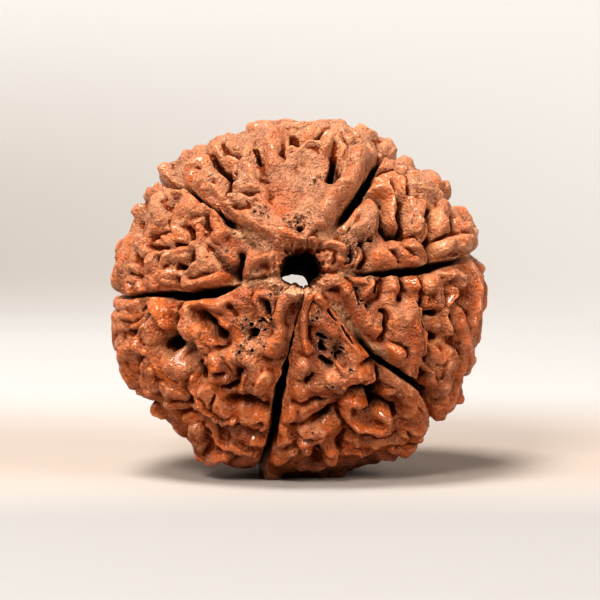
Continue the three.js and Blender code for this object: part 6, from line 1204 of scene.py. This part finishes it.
# The spongy places are a fine lace of cells, and fibres run along the clefts.
cell_walls = node("ShaderNodeTexVoronoi", {"feature": "DISTANCE_TO_EDGE"}, Vector=place, Scale=3300.0)
cells = ramp(cell_walls.outputs["Distance"], 0.04, 0.22)
lace = times(cells, ramp(spongy_share, 0.3, 0.7), ramp(grain(0.8), 0.35, 0.6))
colour = tinted(colour, GREY_BLOOM, times(ramp(spongy_share, 0.2, 0.6), 0.3))
# Painted shade darkens the cells between the strands.
colour = tinted(colour, BRICK_GRAIN_AND_SHADE, times(lace, 0.35))
strands = node("ShaderNodeCombineXYZ", X=times(trait_of("along_cleft"), 0.9), Y=times(across_cleft, 7.0))
fibres = node("ShaderNodeTexNoise", Vector=strands.outputs[0], Scale=1.3, Detail=3.0).outputs["Fac"]
fibrous = times(ramp(across_cleft, 1.0, 0.3), ramp(sand, 0.2, 0.9))
colour = tinted(colour, OLIVE_FIBRE, times(fibrous, ramp(fibres, 0.42, 0.58), 0.3))

# Painted shade: what lies deep, the bore's wall and the seed's underside are painted dark, where shade
# falls.
deep_shade = ramp(plus(level, times(sand, 0.6)), -0.95, -2.1)
colour = tinted(colour, PAINTED_DARK_SHADE, plus(deep_shade, times(ramp(crease, 0.1, 0.3), 0.6)))
in_bore = ramp(plus(bore_distance, times(grain(0.5), 0.5)), 1.6, 1.35)
# Painted shade: the bore's wall is painted nearly black.
colour = tinted(colour, BORE_SHADE, in_bore)
# Painted shade: the seed's underside is painted darker towards the floor.
colour = tinted(colour, PAINTED_DARK_SHADE, times(ramp(up, 0.0014, 0.0002), 0.75))
tree.links.new(colour, shader.inputs["Base Color"])

# Polished crests gleam under a thin coat of wax, and the bore doesn't.
shader.inputs["Specular Tint"].default_value = (1, 0.68, 0.42, 1)
shader.inputs["Coat Roughness"].default_value = 0.11
gloss = plus(times(polish, -0.34), plus(times(grain(0.35), 0.25), 0.47))
outside = less(1.0, in_bore, 1.0)
tree.links.new(plus(gloss, times(in_bore, 0.4)), shader.inputs["Roughness"])
tree.links.new(times(plus(times(polish, 0.5), 0.12), outside), shader.inputs["Specular IOR Level"])
tree.links.new(times(polish, 0.6, outside), shader.inputs["Coat Weight"])

# The finest wrinkles, grains, cells and fibres are bumps.
furrowed = node(
    "ShaderNodeTexNoise",
    {"noise_type": "RIDGED_MULTIFRACTAL"},
    Vector=place, Scale=1300.0, Detail=4.0, Roughness=0.6, Lacunarity=2.2, Offset=1.0, Gain=2.0,
).outputs["Fac"]
grains = times(grain(0.16, 2.0), times(plus(gritty, 0.2), 1.5))
wrinkles = plus(times(grain(0.5, 5.0, 0.65), 0.8), grains)
wrinkles = plus(wrinkles, times(furrowed, plus(rough_skin, times(sand, 0.8)), 0.36))
wrinkles = plus(wrinkles, plus(times(lace, -1.1), times(grain(0.22, 3.0), sand, 1.6)))
wrinkles = plus(wrinkles, times(fibrous, fibres, 1.2))
bump = node("ShaderNodeBump", Strength=1.0, Distance=0.00025, Height=wrinkles)
tree.links.new(bump.outputs["Normal"], shader.inputs["Normal"])
thinned.materials.append(wood)
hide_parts("seed")
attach(seed, "root")

low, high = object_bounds()
